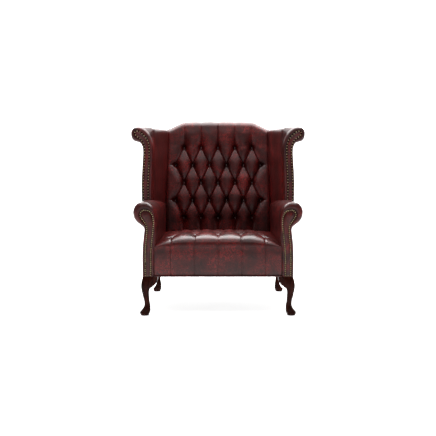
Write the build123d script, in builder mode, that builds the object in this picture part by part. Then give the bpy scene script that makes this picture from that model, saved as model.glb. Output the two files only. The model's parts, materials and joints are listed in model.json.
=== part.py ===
# Queen Anne style two-seat wing settee with a button-tufted leather back and seat.
# Millimetres, +Z up. The origin is on the floor, under the middle of the overall size.
# The seat faces -Y, and left and right are as the drawings show it from the front.
import os
from math import asin, cos, degrees, radians, sin, sqrt

from build123d import *

# Overall sizes
overall_height = 1090
body_width = 818
body_depth = 740
back_lean = 62
toe_reach = 16
clearance = 0.3
overrun = 60

# Turned and carved parts
leg_height = 211
leg_block = 60

# Seat
seat_crown_height = 444
seat_border_height = 365
seat_front_setback = 2
seat_depth = 575
seat_crown_depth = 240
seat_roll_depth = 62
seat_roll_height = 433
seat_back_height = 402
seat_side_height = 375
seat_cover_thickness = 20
seat_columns = 5
seat_row_count = 4
seat_pleat_length = 80
seat_button_pitch = 129
seat_row_pitch = 110
seat_row_start = 120
seat_button_diameter = 26
seat_button_rise = 7

# Back
back_side_inset = 84
back_face_lean = 130
back_level = 440
back_foot_height = 304
back_cover_thickness = 24
crest_drop = 44
crest_front_round = 34
crest_rear_round = 20
back_button_pitch = 108.5
back_row_pitch = 111.5
back_row_start = 493
back_button_diameter = 20
back_button_rise = 6
crest_pleat_length = 105
foot_pleat_length = 80
side_pleat_length = 48

# Tufting
tuft_depth = 16
tuft_margin = 1
tuft_overrun = 5
pleat_depth = 13
pleat_half_width = 10
pleat_mouth = 15
lattice_columns = 5
lattice_rows = 5

# Arms
arm_roll_radius = 61
arm_roll_inset = 13
arm_roll_height = 552
arm_inner_radius = 51
arm_inner_inset = 64
arm_neck_inset = 14
arm_neck_height = 472
arm_side_height = 400
arm_front_round = 10
arm_lip_angle = 283
neck_bend_share = 0.32
lip_bend_share = 0.3
cover_thickness = 6
facing_thickness = 6

# Wings
wing_front = 290
wing_splay_share = 0.1
wing_inner_inset = 28
wing_outer_reach = 32
wing_foot_height = 560
wing_waist_height = 892
wing_waist_inset = 11
wing_shoulder_height = 914
scroll_radius = 38.5
scroll_centre_reach = 57
scroll_height = 996
wing_front_round = 8
wing_inner_lean = 6
scroll_neck_round = 13
throat_share = 0.45
rail_drop_share = 0.15
curl_shares = ((0.05, 0.33), (0.17, 0.64), (0.5, 0.9))

# Nail-head trim
nail_diameter = 10
nail_rise = 2.6
arm_nail_pitch = 10.8
wing_nail_pitch = 16.4
nail_margin = 7
arm_nail_inset = 60
arm_nail_bottom = 218
arm_nail_width = 72
arm_nail_height = 353
wing_nail_inset = 11
wing_nail_bottom = 622
wing_nail_width = 83
wing_nail_height = 387

# Timber frame
rail_thickness = 32
rail_height = 85
post_inner_inset = 55
post_width = 34
post_depth = 36
post_head_radius = 42
upright_inner_inset = 71
upright_width = 46
upright_upper_width = 36
frame_depth = 45
upright_top = 960
crest_rail_height = 95
crest_rail_drop = 60
lower_rail_bottom = 330
lower_rail_height = 52
arm_rail_inset = 49
arm_rail_width = 52
arm_rail_height = 45
wing_post_inset = 19
wing_post_width = 30
wing_post_depth = 34
wing_rail_inset = 9
wing_rail_width = 36
wing_rail_height = 35
corner_block_leg = 70
corner_block_height = 70
corner_block_drop = 5
bolt_diameter = 10
bolt_inset = 34
bolt_in_leg = 60
bolt_in_frame = 50

# Springs, webbing and cloth
spring_count = 6
spring_wire = 3.8
spring_width = 44
spring_turn = 24
spring_turns = 26
spring_bend = 9
spring_pitch = 104
clip_width = 26
clip_depth = 14
clip_height = 5.6
strap_width = 50
strap_thickness = 2
strap_columns = 5
strap_rows = 4
strap_column_pitch = 118
strap_row_pitch = 128
cloth_thickness = 1.5
panel_thickness = 5
welt_diameter = 6
panel_setback = 4
panel_top_drop = 14
cloth_margin = 30

# Places worked out from the sizes above
overall_depth = toe_reach + body_depth + back_lean
front = toe_reach - overall_depth / 2
half_width = body_width / 2
rear_slope = back_lean / (overall_height - leg_height)
rear = front + body_depth
roll_centre_x = half_width - arm_roll_inset
arm_front_inner_x = half_width - arm_inner_inset
arm_nail_inner_x = half_width - arm_nail_inset
arm_rail_inner_x = half_width - arm_rail_inset
wing_inner_x = half_width - wing_inner_inset
wing_outer_x = half_width + wing_outer_reach
wing_nail_inner_x = half_width - wing_nail_inset
wing_post_inner_x = half_width - wing_post_inset
wing_rail_inner_x = half_width - wing_rail_inset
scroll_centre_x = half_width + scroll_centre_reach
post_inner_x = half_width - post_inner_inset
upright_inner_x = half_width - upright_inner_inset
back_half_width = half_width - back_side_inset
back_slope = back_face_lean / (overall_height - back_level)
arm_top = arm_roll_height + arm_roll_radius
rail_top = leg_height + rail_height
spring_level = rail_top + spring_wire / 2 + clearance
deck_level = spring_level + spring_wire / 2 + clearance
foam_level = deck_level + cloth_thickness + clearance
frame_front = panel_thickness + clearance + frame_depth
arm_start = front + facing_thickness
wing_start = front + wing_front
post_start = arm_start + cover_thickness + clearance
post_end = post_start + post_depth


def back_face(z):
    """Depth of the inside back's flat front at height z."""
    return front + seat_depth + back_slope * (z - back_level)


def rear_face(z):
    """Depth of the outside back at height z."""
    return rear + rear_slope * (z - leg_height)


def front_view(y):
    """Drawing plane seen from the front, at depth y."""
    return Plane.XZ.offset(-y)


def side_view(x):
    """Drawing plane seen from the side, at width x."""
    return Plane.YZ.offset(x)


# Plane of the outside back: its Y runs up the slope and its Z points to the rear
rear_plane = Plane(origin=(0, rear, leg_height), x_dir=(-1, 0, 0), z_dir=(0, 1, -rear_slope))
slope_stretch = sqrt(1 + rear_slope * rear_slope)


def up_slope(z):
    """Distance up the outside back's plane to height z."""
    return (z - leg_height) * slope_stretch


def rear_layer(bottom, top, inner, outer):
    """Side outline of a layer that leans with the outside back."""
    with BuildSketch(side_view(0)) as layer:
        with BuildLine():
            Polyline(
                (rear_face(bottom) - inner, bottom),
                (rear_face(top) - inner, top),
                (rear_face(top) - outer, top),
                (rear_face(bottom) - outer, bottom),
                close=True,
            )
        make_face()
    return layer.sketch


# Cabriole legs with pad feet: height, offset from the corner, width and corner round
leg_shares = (
    (0, 0.15, 0.73, 0.49),
    (0.033, 0.15, 0.80, 0.49),
    (0.085, 0.18, 0.90, 0.49),
    (0.137, 0.27, 0.77, 0.49),
    (0.19, 0.33, 0.63, 0.49),
    (0.242, 0.365, 0.55, 0.49),
    (0.294, 0.355, 0.50, 0.49),
    (0.341, 0.335, 0.475, 0.48),
    (0.445, 0.283, 0.533, 0.47),
    (0.55, 0.238, 0.60, 0.45),
    (0.654, 0.222, 0.717, 0.42),
    (0.711, 0.25, 0.833, 0.38),
    (0.806, 0.342, 1.017, 0.32),
    (0.9, 0.41, 1.02, 0.22),
    (1, 0.5, 1, 0.1),
)

with BuildPart() as right_front_leg:
    for height_share, offset_share, width_share, round_share in leg_shares:
        inset = offset_share * leg_block
        width = width_share * leg_block
        with BuildSketch(Plane((half_width - inset, front + inset, height_share * leg_height))):
            RectangleRounded(width, width, round_share * width)
    loft()
    with BuildSketch(Plane((half_width - bolt_inset, front + bolt_inset, leg_height))):
        Circle(bolt_diameter / 2 + clearance)
    extrude(amount=-bolt_in_leg - clearance, mode=Mode.SUBTRACT)

middle_depth = Plane.XZ.offset(-(front + rear) / 2)

with BuildPart() as right_rear_leg:
    mirror(right_front_leg.part, about=middle_depth)

# Ears that carry each knee along the rails, in shares of the leg's height and block
ear_shares = ((1.33, 1), (1.3, 0.885), (1.0, 0.77), (0.7, 0.705), (0.45, 0.705), (0.45, 1))
ear_setback = 4
ear_thickness = 24

with BuildPart() as right_front_ear:
    with BuildSketch(front_view(front + ear_setback)):
        ear_points = [(half_width - leg_block * a, leg_height * b) for a, b in ear_shares]
        with BuildLine():
            Spline(*ear_points[:4])
            Polyline(*ear_points[3:], ear_points[0])
        make_face()
    extrude(amount=-ear_thickness)
    add(right_front_leg.part, mode=Mode.SUBTRACT)

corner_diagonal = Plane(origin=(half_width, front, 0), z_dir=(1, 1, 0))

with BuildPart() as knee_brackets:
    add(right_front_ear.part)
    mirror(right_front_ear.part, about=corner_diagonal)
    mirror(about=middle_depth)
    mirror(about=Plane.YZ)

with BuildPart() as leg_bolts:
    for x in (half_width - bolt_inset, bolt_inset - half_width):
        for y in (front + bolt_inset, rear - bolt_inset):
            with BuildSketch(Plane((x, y, leg_height - bolt_in_leg))):
                Circle(bolt_diameter / 2)
            extrude(amount=bolt_in_leg + bolt_in_frame)

# Seat frame
back_rail_front = rear_face(leg_height) - frame_front
side_rail_inner_x = post_inner_x + (post_width - rail_thickness)

with BuildPart() as front_seat_rail:
    with BuildSketch(Plane((0, front + seat_front_setback + seat_cover_thickness + clearance, leg_height))):
        Rectangle(2 * (post_inner_x - clearance), rail_thickness, align=(Align.CENTER, Align.MIN))
    extrude(amount=rail_height)

with BuildPart() as back_seat_rail:
    with BuildSketch(Plane((0, back_rail_front, leg_height))):
        Rectangle(2 * (upright_inner_x - clearance), rail_thickness, align=(Align.CENTER, Align.MIN))
    extrude(amount=rail_height)

with BuildPart() as right_seat_rail:
    with BuildSketch(Plane((side_rail_inner_x, post_end + clearance, leg_height))):
        side_rail_length = back_rail_front - post_end - 2 * clearance
        Rectangle(rail_thickness, side_rail_length, align=(Align.MIN, Align.MIN))
    extrude(amount=rail_height)

front_rail_back = front + seat_front_setback + seat_cover_thickness + clearance + rail_thickness

with BuildPart() as corner_blocks:
    block_x = side_rail_inner_x - clearance
    block_bottom = rail_top - corner_block_drop - corner_block_height
    for y, toward in ((front_rail_back + clearance, 1), (back_rail_front - clearance, -1)):
        with BuildSketch(Plane.XY.offset(block_bottom)):
            with BuildLine():
                Polyline(
                    (block_x, y),
                    (block_x - corner_block_leg, y),
                    (block_x, y + toward * corner_block_leg),
                    close=True,
                )
            make_face()
        extrude(amount=corner_block_height)
    mirror(about=Plane.YZ)

# Front posts, with a round head under the arm's roll
with BuildPart() as right_front_post:
    with BuildSketch(front_view(post_start)):
        with Locations((post_inner_x, leg_height)):
            Rectangle(post_width, arm_roll_height - leg_height, align=(Align.MIN, Align.MIN))
        with Locations((roll_centre_x, arm_roll_height)):
            Circle(post_head_radius)
    extrude(amount=-post_depth)
    with BuildSketch(Plane((half_width - bolt_inset, front + bolt_inset, leg_height))):
        Circle(bolt_diameter / 2 + clearance)
    extrude(amount=bolt_in_frame + clearance, mode=Mode.SUBTRACT)

# Back frame, leaning with the outside back
with BuildPart() as right_back_upright:
    with BuildSketch(Plane((upright_inner_x, 0, leg_height))):
        Rectangle(upright_width, 2 * overall_depth, align=(Align.MIN, Align.CENTER))
    extrude(amount=arm_roll_height - leg_height)
    with BuildSketch(Plane((upright_inner_x, 0, arm_roll_height))):
        Rectangle(upright_upper_width, 2 * overall_depth, align=(Align.MIN, Align.CENTER))
    extrude(amount=upright_top - arm_roll_height)
    upright_layer = rear_layer(leg_height, upright_top, panel_thickness + clearance, frame_front)
    extrude(upright_layer, amount=half_width, both=True, mode=Mode.INTERSECT)
    with BuildSketch(Plane((half_width - bolt_inset, rear - bolt_inset, leg_height))):
        Circle(bolt_diameter / 2 + clearance)
    extrude(amount=bolt_in_frame + clearance, mode=Mode.SUBTRACT)

rail_reach = upright_inner_x - clearance

with BuildPart() as lower_back_rail:
    lower_rail_top = lower_rail_bottom + lower_rail_height
    lower_layer = rear_layer(lower_rail_bottom, lower_rail_top, panel_thickness + clearance, frame_front)
    extrude(lower_layer, amount=rail_reach, both=True)

# The outside back's sides: width and height as shares of the half width and the height
panel_shares = ((0.985, 0.43), (0.945, 0.56), (0.935, 0.86), (0.87, 0.93))
# The crest: distance from the middle and drop below the top, as shares
crest_shares = ((0, 0), (0.3, 0.025), (0.56, 0.08), (0.68, 0.16), (0.78, 0.4), (0.885, 0.77), (1, 1))


def crest_outline(lowered, base, reach):
    """Front outline of the back: a serpentine top over straight sides."""
    top = [(a * reach, overall_height - lowered - b * crest_drop) for a, b in crest_shares]
    other = [(-x, z) for x, z in reversed(top[1:])]
    with BuildSketch(front_view(front)) as outline:
        with BuildLine():
            Spline(*other, *top)
            Polyline(top[-1], (reach, base), (-reach, base), other[0])
        make_face()
    return outline.sketch


with BuildPart() as crest_rail:
    crest_bottom = overall_height - crest_rail_drop - crest_rail_height
    crest_board = crest_outline(crest_rail_drop, crest_bottom, rail_reach)
    extrude(crest_board, amount=2 * overall_depth, both=True)
    crest_layer = rear_layer(crest_bottom, overall_height, panel_thickness + clearance, frame_front)
    extrude(crest_layer, amount=rail_reach, both=True, mode=Mode.INTERSECT)

with BuildPart() as back_webbing:
    low = up_slope(lower_rail_bottom + lower_rail_height / 3)
    high = up_slope(crest_bottom + crest_rail_height / 3)
    with BuildSketch(rear_plane.offset(-frame_front - clearance)):
        for row in range(strap_rows):
            with Locations((0, low + strap_width + (row + 1) * strap_row_pitch)):
                Rectangle(2 * rail_reach, strap_width)
    extrude(amount=-strap_thickness)
    with BuildSketch(rear_plane.offset(-frame_front - clearance - strap_thickness)):
        with Locations((0, (low + high) / 2)):
            with GridLocations(strap_column_pitch, 0, strap_columns, 1):
                Rectangle(strap_width, high - low)
    extrude(amount=-strap_thickness)


# Springs: sinuous wires from the front rail to the back rail
def zigzag():
    """Points of one spring's wire from front to back, about its own middle line."""
    reach = spring_width / 2
    start = front_rail_back - rail_thickness / 2
    points = [(-reach, start)]
    for turn in range(spring_turns):
        side = reach if turn % 2 == 0 else -reach
        points.append((side, start + turn * spring_turn))
        points.append((side, start + (turn + 1) * spring_turn))
    points.append((-points[-1][0], points[-1][1]))
    return points


spring_path = zigzag()
spring_ends = (spring_path[0][1], spring_path[-1][1])

with BuildPart() as one_spring:
    with BuildLine(Plane.XY.offset(spring_level)):
        FilletPolyline(*spring_path, radius=spring_bend)
    with BuildSketch(Plane(origin=(-spring_width / 2, spring_ends[0], spring_level), z_dir=(1, 0, 0))):
        Circle(spring_wire / 2)
    sweep()

wire_room = spring_wire / 2 + clearance

with BuildPart() as one_clip_pair:
    for y in spring_ends:
        with BuildSketch(Plane((0, y, rail_top))):
            Rectangle(clip_width, clip_depth)
        extrude(amount=clip_height)
        with BuildSketch(side_view(-clip_width)):
            with Locations((y, spring_level)):
                Circle(wire_room)
            with Locations((y, rail_top)):
                Rectangle(2 * wire_room, spring_level - rail_top, align=(Align.CENTER, Align.MIN))
        extrude(amount=2 * clip_width, mode=Mode.SUBTRACT)

with BuildPart() as seat_springs:
    with GridLocations(spring_pitch, 0, spring_count, 1):
        add(one_spring.part)

with BuildPart() as spring_clips:
    with GridLocations(spring_pitch, 0, spring_count, 1):
        add(one_clip_pair.part)


# Upholstered arms: the same form, drawn in by an inset for each layer under the leather
arm_end = rear + back_lean


def arm_inner_x(y):
    """Half width between the arms at depth y, wider at the front."""
    splay = (arm_front_inner_x - back_half_width - clearance) / (arm_end - arm_start)
    return arm_front_inner_x - splay * (y - arm_start)


def arm_outline(y, inset):
    """Front outline of the right arm at depth y."""
    inner_x = arm_inner_x(y)
    neck = (half_width - arm_neck_inset, arm_neck_height)
    lip_turn = radians(arm_lip_angle)
    lip = (
        roll_centre_x + arm_roll_radius * cos(lip_turn),
        arm_roll_height + arm_roll_radius * sin(lip_turn),
    )
    shoulder = (inner_x, arm_top - arm_inner_radius)
    with BuildSketch(front_view(y)) as outline:
        with BuildLine():
            side_top = (half_width, arm_side_height)
            neck_bend = (
                half_width - arm_neck_inset * neck_bend_share,
                (arm_side_height + arm_neck_height) / 2,
            )
            lip_bend = (
                neck[0] + (lip[0] - neck[0]) * lip_bend_share,
                neck[1] + (lip[1] - neck[1]) * (1 - lip_bend_share),
            )
            Line((half_width, leg_height), side_top)
            ThreePointArc(side_top, neck_bend, neck)
            ThreePointArc(neck, lip_bend, lip)
            roll_side = (roll_centre_x + arm_roll_radius, arm_roll_height)
            ThreePointArc(lip, roll_side, (roll_centre_x, arm_top))
            slant = sin(radians(45))
            shoulder_bend = (
                roll_centre_x - (roll_centre_x - inner_x) * slant,
                arm_top - arm_inner_radius * (1 - slant),
            )
            ThreePointArc((roll_centre_x, arm_top), shoulder_bend, shoulder)
            Polyline(shoulder, (inner_x, leg_height), (half_width, leg_height))
        make_face()
        if inset:
            offset(amount=-inset)
    return outline.sketch


def arm_form(inset, start, end_inset):
    """The right arm from start to the outside back, less the end inset."""
    with BuildPart() as form:
        loft([arm_outline(start, inset), arm_outline(arm_end, inset)], ruled=True)
        extrude(behind_rear(end_inset), amount=2 * body_width, both=True, mode=Mode.SUBTRACT)
    return form.part


def behind_rear(end_inset):
    """Side outline of all that lies behind the upholstery's rear end."""
    end = panel_thickness + clearance + end_inset
    return rear_layer(-overrun, overall_height + overrun, end, -body_depth)


# Room under the arms for the rails, and beside the back for its frame
tuck_depth = back_cover_thickness


def under_arms():
    """Block under the inner arms, where the front and back rails pass."""
    with BuildPart() as block:
        with BuildSketch(Plane((0, post_start, 0))):
            Rectangle(2 * side_rail_inner_x, 2 * body_depth, align=(Align.CENTER, Align.MIN))
        extrude(amount=rail_top + clearance)
    return block.part


def beside_back():
    """Block behind the inside back's leather, out to the uprights."""
    with BuildPart() as block:
        with BuildSketch(side_view(0)):
            with BuildLine():
                Polyline(
                    (back_face(0) + tuck_depth, 0),
                    (back_face(overall_height) + tuck_depth, overall_height),
                    (rear + body_depth, overall_height),
                    (rear + body_depth, 0),
                    close=True,
                )
            make_face()
        extrude(amount=upright_inner_x, both=True)
    return block.part


def outer_slab(bottom, top, side, start, splay):
    """Block over an outer face, from a side plane outwards, where the outside panel lies."""
    with BuildPart() as block:
        with BuildSketch(front_view(start)):
            with Locations((side, bottom)):
                Rectangle(body_width, top - bottom, align=(Align.MIN, Align.MIN))
        extrude(amount=2 * body_depth, dir=(-splay, 1, 0))
    return block.part


arm_outer = arm_form(0, arm_start, 0)
arm_inner = arm_form(cover_thickness, arm_start + cover_thickness, cover_thickness)
arm_panel_start = arm_start + cover_thickness + arm_front_round
arm_panel_x = half_width - cover_thickness - arm_neck_inset

with BuildPart() as arm_shell:
    add(arm_outer)
    fillet(arm_shell.faces().sort_by(Axis.Y)[0].edges().sort_by(Axis.Z)[1:], arm_front_round)
    add(arm_inner, mode=Mode.SUBTRACT)
    with BuildSketch(Plane((0, arm_start + cover_thickness, 0))):
        Rectangle(2 * (half_width - cover_thickness), 2 * body_depth, align=(Align.CENTER, Align.MIN))
    extrude(amount=leg_height + cover_thickness + clearance, mode=Mode.SUBTRACT)

arm_slab = outer_slab(0, arm_neck_height, arm_panel_x, arm_panel_start, 0)
arm_slab_gap = outer_slab(
    0, arm_neck_height + clearance, arm_panel_x - clearance, arm_panel_start - clearance, 0
)

with BuildPart() as right_outside_arm_panel:
    add(arm_shell.part)
    add(arm_slab, mode=Mode.INTERSECT)

with BuildPart() as wing_post_room:
    with BuildSketch(front_view(wing_start + cover_thickness)):
        with Locations((wing_post_inner_x - clearance, arm_roll_height)):
            Rectangle(
                wing_post_width + 2 * clearance,
                scroll_height - arm_roll_height,
                align=(Align.MIN, Align.MIN),
            )
    extrude(amount=-wing_post_depth - 2 * clearance)

with BuildPart() as upright_room:
    with BuildSketch(Plane((upright_inner_x - clearance, 0, leg_height))):
        Rectangle(upright_width + 2 * clearance, 2 * overall_depth, align=(Align.MIN, Align.CENTER))
    extrude(amount=upright_top)
    room_layer = rear_layer(0, overall_height + overrun, 0, frame_front + clearance)
    extrude(room_layer, amount=half_width, both=True, mode=Mode.INTERSECT)

with BuildPart() as right_arm_cover:
    add(arm_shell.part)
    add(arm_slab_gap, mode=Mode.SUBTRACT)
    add(under_arms(), mode=Mode.SUBTRACT)
    add(beside_back(), mode=Mode.SUBTRACT)
    add(wing_post_room.part, mode=Mode.SUBTRACT)
    add(upright_room.part, mode=Mode.SUBTRACT)

arm_rail_bottom = arm_roll_height - arm_rail_height / 2
frame_block = rear_layer(-overrun, overall_height + overrun, 0, frame_front + clearance)
behind_frame = rear_layer(0, overall_height, frame_front + clearance, -body_depth)

with BuildPart() as right_arm_rail:
    with BuildSketch(front_view(post_end + clearance)):
        with Locations((arm_rail_inner_x, arm_rail_bottom)):
            Rectangle(arm_rail_width, arm_rail_height, align=(Align.MIN, Align.MIN))
    extrude(amount=-body_depth)
    extrude(behind_frame, amount=body_width, both=True, mode=Mode.SUBTRACT)

# Padding fills the roll and backs the inner face, with a hollow behind the outside panel
with BuildPart() as right_arm_pad:
    add(arm_form(cover_thickness + clearance, post_end + clearance, 0))
    extrude(frame_block, amount=body_width, both=True, mode=Mode.SUBTRACT)
    with BuildSketch(front_view(post_start)):
        with Locations((arm_rail_inner_x - clearance, arm_rail_bottom - clearance)):
            Rectangle(
                arm_rail_width + 2 * clearance, arm_rail_height + 2 * clearance, align=(Align.MIN, Align.MIN)
            )
        with Locations((arm_rail_inner_x - clearance, 0)):
            Rectangle(body_width, arm_rail_bottom, align=(Align.MIN, Align.MIN))
    extrude(amount=-2 * body_depth, mode=Mode.SUBTRACT)
    add(under_arms(), mode=Mode.SUBTRACT)
    with BuildSketch(Plane.XY):
        Rectangle(2 * half_width, 2 * overall_depth)
    extrude(amount=rail_top + clearance, mode=Mode.SUBTRACT)
    add(beside_back(), mode=Mode.SUBTRACT)
    add(wing_post_room.part, mode=Mode.SUBTRACT)


# Wings: an upright band that curls outwards into a scroll, run back along a splay
def wing_outline(start, inset):
    """Front outline of the right wing where it starts at depth start."""
    shift = wing_splay_share * (start - wing_start)
    with BuildSketch(front_view(start)) as outline:
        with Locations((-shift, 0)):
            add(wing_band(inset))
    return outline.sketch


def wing_band(inset):
    """The wing's outline in its own drawing, with X across and Y up."""
    waist_x = wing_outer_x - wing_waist_inset
    curl = wing_shoulder_height - wing_waist_height
    inner_top_x = wing_inner_x - wing_inner_lean
    scroll_top = scroll_height + scroll_radius
    rise = scroll_top - wing_shoulder_height
    eye_run = scroll_centre_x - inner_top_x
    with BuildSketch() as band:
        with BuildLine():
            shoulder = (inner_top_x, wing_shoulder_height)
            bend, knee, crown = (
                (inner_top_x + eye_run * a, wing_shoulder_height + rise * b) for a, b in curl_shares
            )
            below = (scroll_centre_x, scroll_height - scroll_radius)
            throat = (waist_x + scroll_neck_round * throat_share, wing_waist_height + scroll_radius)
            Line((wing_inner_x, wing_foot_height), shoulder)
            ThreePointArc(shoulder, bend, knee)
            ThreePointArc(knee, crown, (scroll_centre_x, scroll_top))
            ThreePointArc(
                (scroll_centre_x, scroll_top), (scroll_centre_x + scroll_radius, scroll_height), below
            )
            throat_bend = (waist_x + scroll_neck_round, below[1] - scroll_neck_round * throat_share)
            ThreePointArc(below, throat_bend, throat)
            Line(throat, (waist_x, wing_waist_height))
            bulge = (wing_outer_x, (wing_waist_height + wing_foot_height) / 2)
            ThreePointArc((waist_x, wing_waist_height), bulge, (wing_outer_x, wing_foot_height))
            Line((wing_outer_x, wing_foot_height), (wing_inner_x, wing_foot_height))
        make_face()
        if inset:
            offset(amount=-inset)
    return band.sketch


wing_run = (-wing_splay_share, 1, 0)
arm_room = arm_form(0, arm_start, 0)


def wing_form(inset, start, end_inset):
    """The right wing from start to the outside back, cut to sit on the arm."""
    with BuildPart() as form:
        extrude(wing_outline(start, inset), amount=body_depth, dir=wing_run)
        extrude(behind_rear(end_inset), amount=2 * body_width, both=True, mode=Mode.SUBTRACT)
        add(arm_room, mode=Mode.SUBTRACT)
        with BuildSketch():
            Rectangle(2 * (back_half_width + clearance), 2 * overall_depth)
        extrude(amount=2 * overall_height, mode=Mode.SUBTRACT)
    return form.part


with BuildPart() as wing_shell:
    outer_wing = wing_form(0, wing_start, 0)
    add(outer_wing)
    add(wing_form(cover_thickness, wing_start + cover_thickness, cover_thickness), mode=Mode.SUBTRACT)


wing_panel_x = wing_outer_x - wing_waist_inset - wing_post_width / 2
wing_panel_start = wing_start + cover_thickness + wing_front_round
wing_slab = outer_slab(0, wing_waist_height, wing_panel_x, wing_panel_start, wing_splay_share)
wing_slab_gap = outer_slab(
    0, wing_waist_height + clearance, wing_panel_x - clearance, wing_panel_start - clearance, wing_splay_share
)

with BuildPart() as right_outside_wing_panel:
    add(wing_shell.part)
    add(wing_slab, mode=Mode.INTERSECT)
    add(upright_room.part, mode=Mode.SUBTRACT)

with BuildPart() as right_wing_cover:
    add(wing_shell.part)
    add(wing_slab_gap, mode=Mode.SUBTRACT)
    add(beside_back(), mode=Mode.SUBTRACT)
    add(upright_room.part, mode=Mode.SUBTRACT)

wing_post_start = wing_start + cover_thickness + clearance
wing_rail_bottom = scroll_height - wing_rail_height - scroll_radius * rail_drop_share
wing_post_height = wing_rail_bottom - arm_rail_bottom - arm_rail_height

with BuildPart() as right_wing_post:
    with BuildSketch(front_view(wing_post_start)):
        with Locations((wing_post_inner_x, arm_rail_bottom + arm_rail_height)):
            Rectangle(wing_post_width, wing_post_height, align=(Align.MIN, Align.MIN))
    extrude(amount=-wing_post_depth)

with BuildPart() as right_wing_top_rail:
    with BuildSketch(front_view(wing_post_start)) as rail_end:
        with Locations((wing_rail_inner_x, wing_rail_bottom)):
            Rectangle(wing_rail_width, wing_rail_height, align=(Align.MIN, Align.MIN))
    extrude(amount=body_depth, dir=wing_run)
    extrude(behind_frame, amount=body_width, both=True, mode=Mode.SUBTRACT)

wing_hollow = outer_slab(0, wing_waist_height, wing_panel_x - clearance, wing_post_start, wing_splay_share)

with BuildPart() as right_wing_pad:
    add(wing_form(cover_thickness + clearance, wing_post_start, 0))
    add(wing_hollow, mode=Mode.SUBTRACT)
    extrude(frame_block, amount=body_width, both=True, mode=Mode.SUBTRACT)
    with BuildSketch(front_view(wing_post_start - clearance)):
        with Locations((wing_post_inner_x - clearance, 0)):
            Rectangle(wing_post_width + 2 * clearance, wing_rail_bottom, align=(Align.MIN, Align.MIN))
    extrude(amount=-wing_post_depth - 2 * clearance, mode=Mode.SUBTRACT)
    with BuildSketch(front_view(wing_post_start - clearance)) as rail_room:
        with Locations((wing_rail_inner_x - clearance, wing_rail_bottom - clearance)):
            Rectangle(
                wing_rail_width + 2 * clearance,
                wing_rail_height + 2 * clearance,
                align=(Align.MIN, Align.MIN),
            )
    extrude(amount=2 * body_depth, dir=wing_run, mode=Mode.SUBTRACT)
    add(beside_back(), mode=Mode.SUBTRACT)


# Back: the same block, drawn in by an inset for each layer under the leather
def back_form(inset, reach):
    """The inside back's block, from its raked front to the outside back's panel."""
    top = overall_height + overrun
    with BuildPart() as form:
        outline = crest_outline(inset, back_foot_height, reach)
        extrude(outline, amount=2 * overall_depth, both=True)
        with BuildSketch(side_view(0)) as side:
            with BuildLine():
                Polyline(
                    (back_face(0) + inset, 0),
                    (back_face(top) + inset, top),
                    (rear_face(top) - panel_thickness - clearance, top),
                    (rear_face(0) - panel_thickness - clearance, 0),
                    close=True,
                )
            make_face()
        extrude(side.sketch, amount=body_width, both=True, mode=Mode.INTERSECT)
    return form


def fold_cutter(start, end, normal):
    """A V-shaped fold cut from start to end, both at the fold's root."""
    run = end - start
    with BuildPart() as fold:
        with BuildSketch(Plane(origin=start, x_dir=run.cross(normal), z_dir=run)):
            with BuildLine():
                Polyline(
                    (0, 0), (pleat_half_width, -pleat_mouth), (-pleat_half_width, -pleat_mouth), close=True
                )
            make_face()
        extrude(amount=run.length)
    return fold.part


rake_normal = Vector(0, -1, back_slope).normalized()


def on_back(x, z, depth):
    """Point of the inside back at width x and height z, sunk by depth."""
    return Vector(x, back_face(z), z) - rake_normal * depth


def row_places(row, first_count, odd_extra, pitch):
    """Widths of the buttons in one row of the diamond lattice."""
    count = first_count if row % 2 == 0 else first_count + odd_extra
    return [(i - (count - 1) / 2) * pitch for i in range(count)]


back_rows = [
    (back_row_start + row * back_row_pitch, row_places(row, lattice_columns, 1, back_button_pitch))
    for row in range(lattice_rows)
]


def back_folds():
    """Ends of each fold of the inside back: diamonds, and pleats to its edges."""
    folds = []
    for (z, xs), (next_z, next_xs) in zip(back_rows, back_rows[1:]):
        for x in xs:
            for next_x in next_xs:
                if abs(next_x - x) < back_button_pitch:
                    folds.append((x, z, next_x, next_z))
    top_z, top_xs = back_rows[-1]
    low_z, low_xs = back_rows[0]
    for x in top_xs:
        folds.append((x, top_z, x, top_z + crest_pleat_length))
    for x in low_xs:
        folds.append((x, low_z, x, low_z - foot_pleat_length))
    for z, xs in back_rows[1::2]:
        for x in (xs[0], xs[-1]):
            toward = -1 if x < 0 else 1
            folds.append((x, z, x + toward * side_pleat_length, z))
    return folds


def tufting(planes, folds, button_diameter):
    """Cutter for the tufting: a dimple at each button and a fold along each line."""
    root_radius = button_diameter / 2 + tuft_margin
    rise = tuft_depth + tuft_overrun
    with BuildPart() as cutter:
        for start, end, normal in folds:
            add(fold_cutter(start, end, normal))
        with Locations(*planes):
            Cone(root_radius, root_radius + rise, rise, align=(Align.CENTER, Align.CENTER, Align.MIN))
    return cutter.part


def button_domes(planes, diameter, rise):
    """Domed buttons standing on the given planes, one solid each."""
    dome_radius = (diameter * diameter / 4 + rise * rise) / (2 * rise)
    base_latitude = degrees(asin((dome_radius - rise) / dome_radius))
    with BuildPart() as domes:
        with Locations(*planes):
            Sphere(dome_radius, arc_size1=base_latitude, align=(Align.CENTER, Align.CENTER, Align.MIN))
    return domes


def tuft_planes(points_and_normals, depth):
    """A plane at the root of each button, facing out."""
    return [
        Plane(origin=point - normal * depth, x_dir=(1, 0, 0), z_dir=normal)
        for point, normal in points_and_normals
    ]


back_button_points = [(on_back(x, z, 0), rake_normal) for z, xs in back_rows for x in xs]
back_planes = tuft_planes(back_button_points, tuft_depth)
back_cuts = [
    (on_back(x, z, pleat_depth), on_back(next_x, next_z, pleat_depth), rake_normal)
    for x, z, next_x, next_z in back_folds()
]

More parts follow.
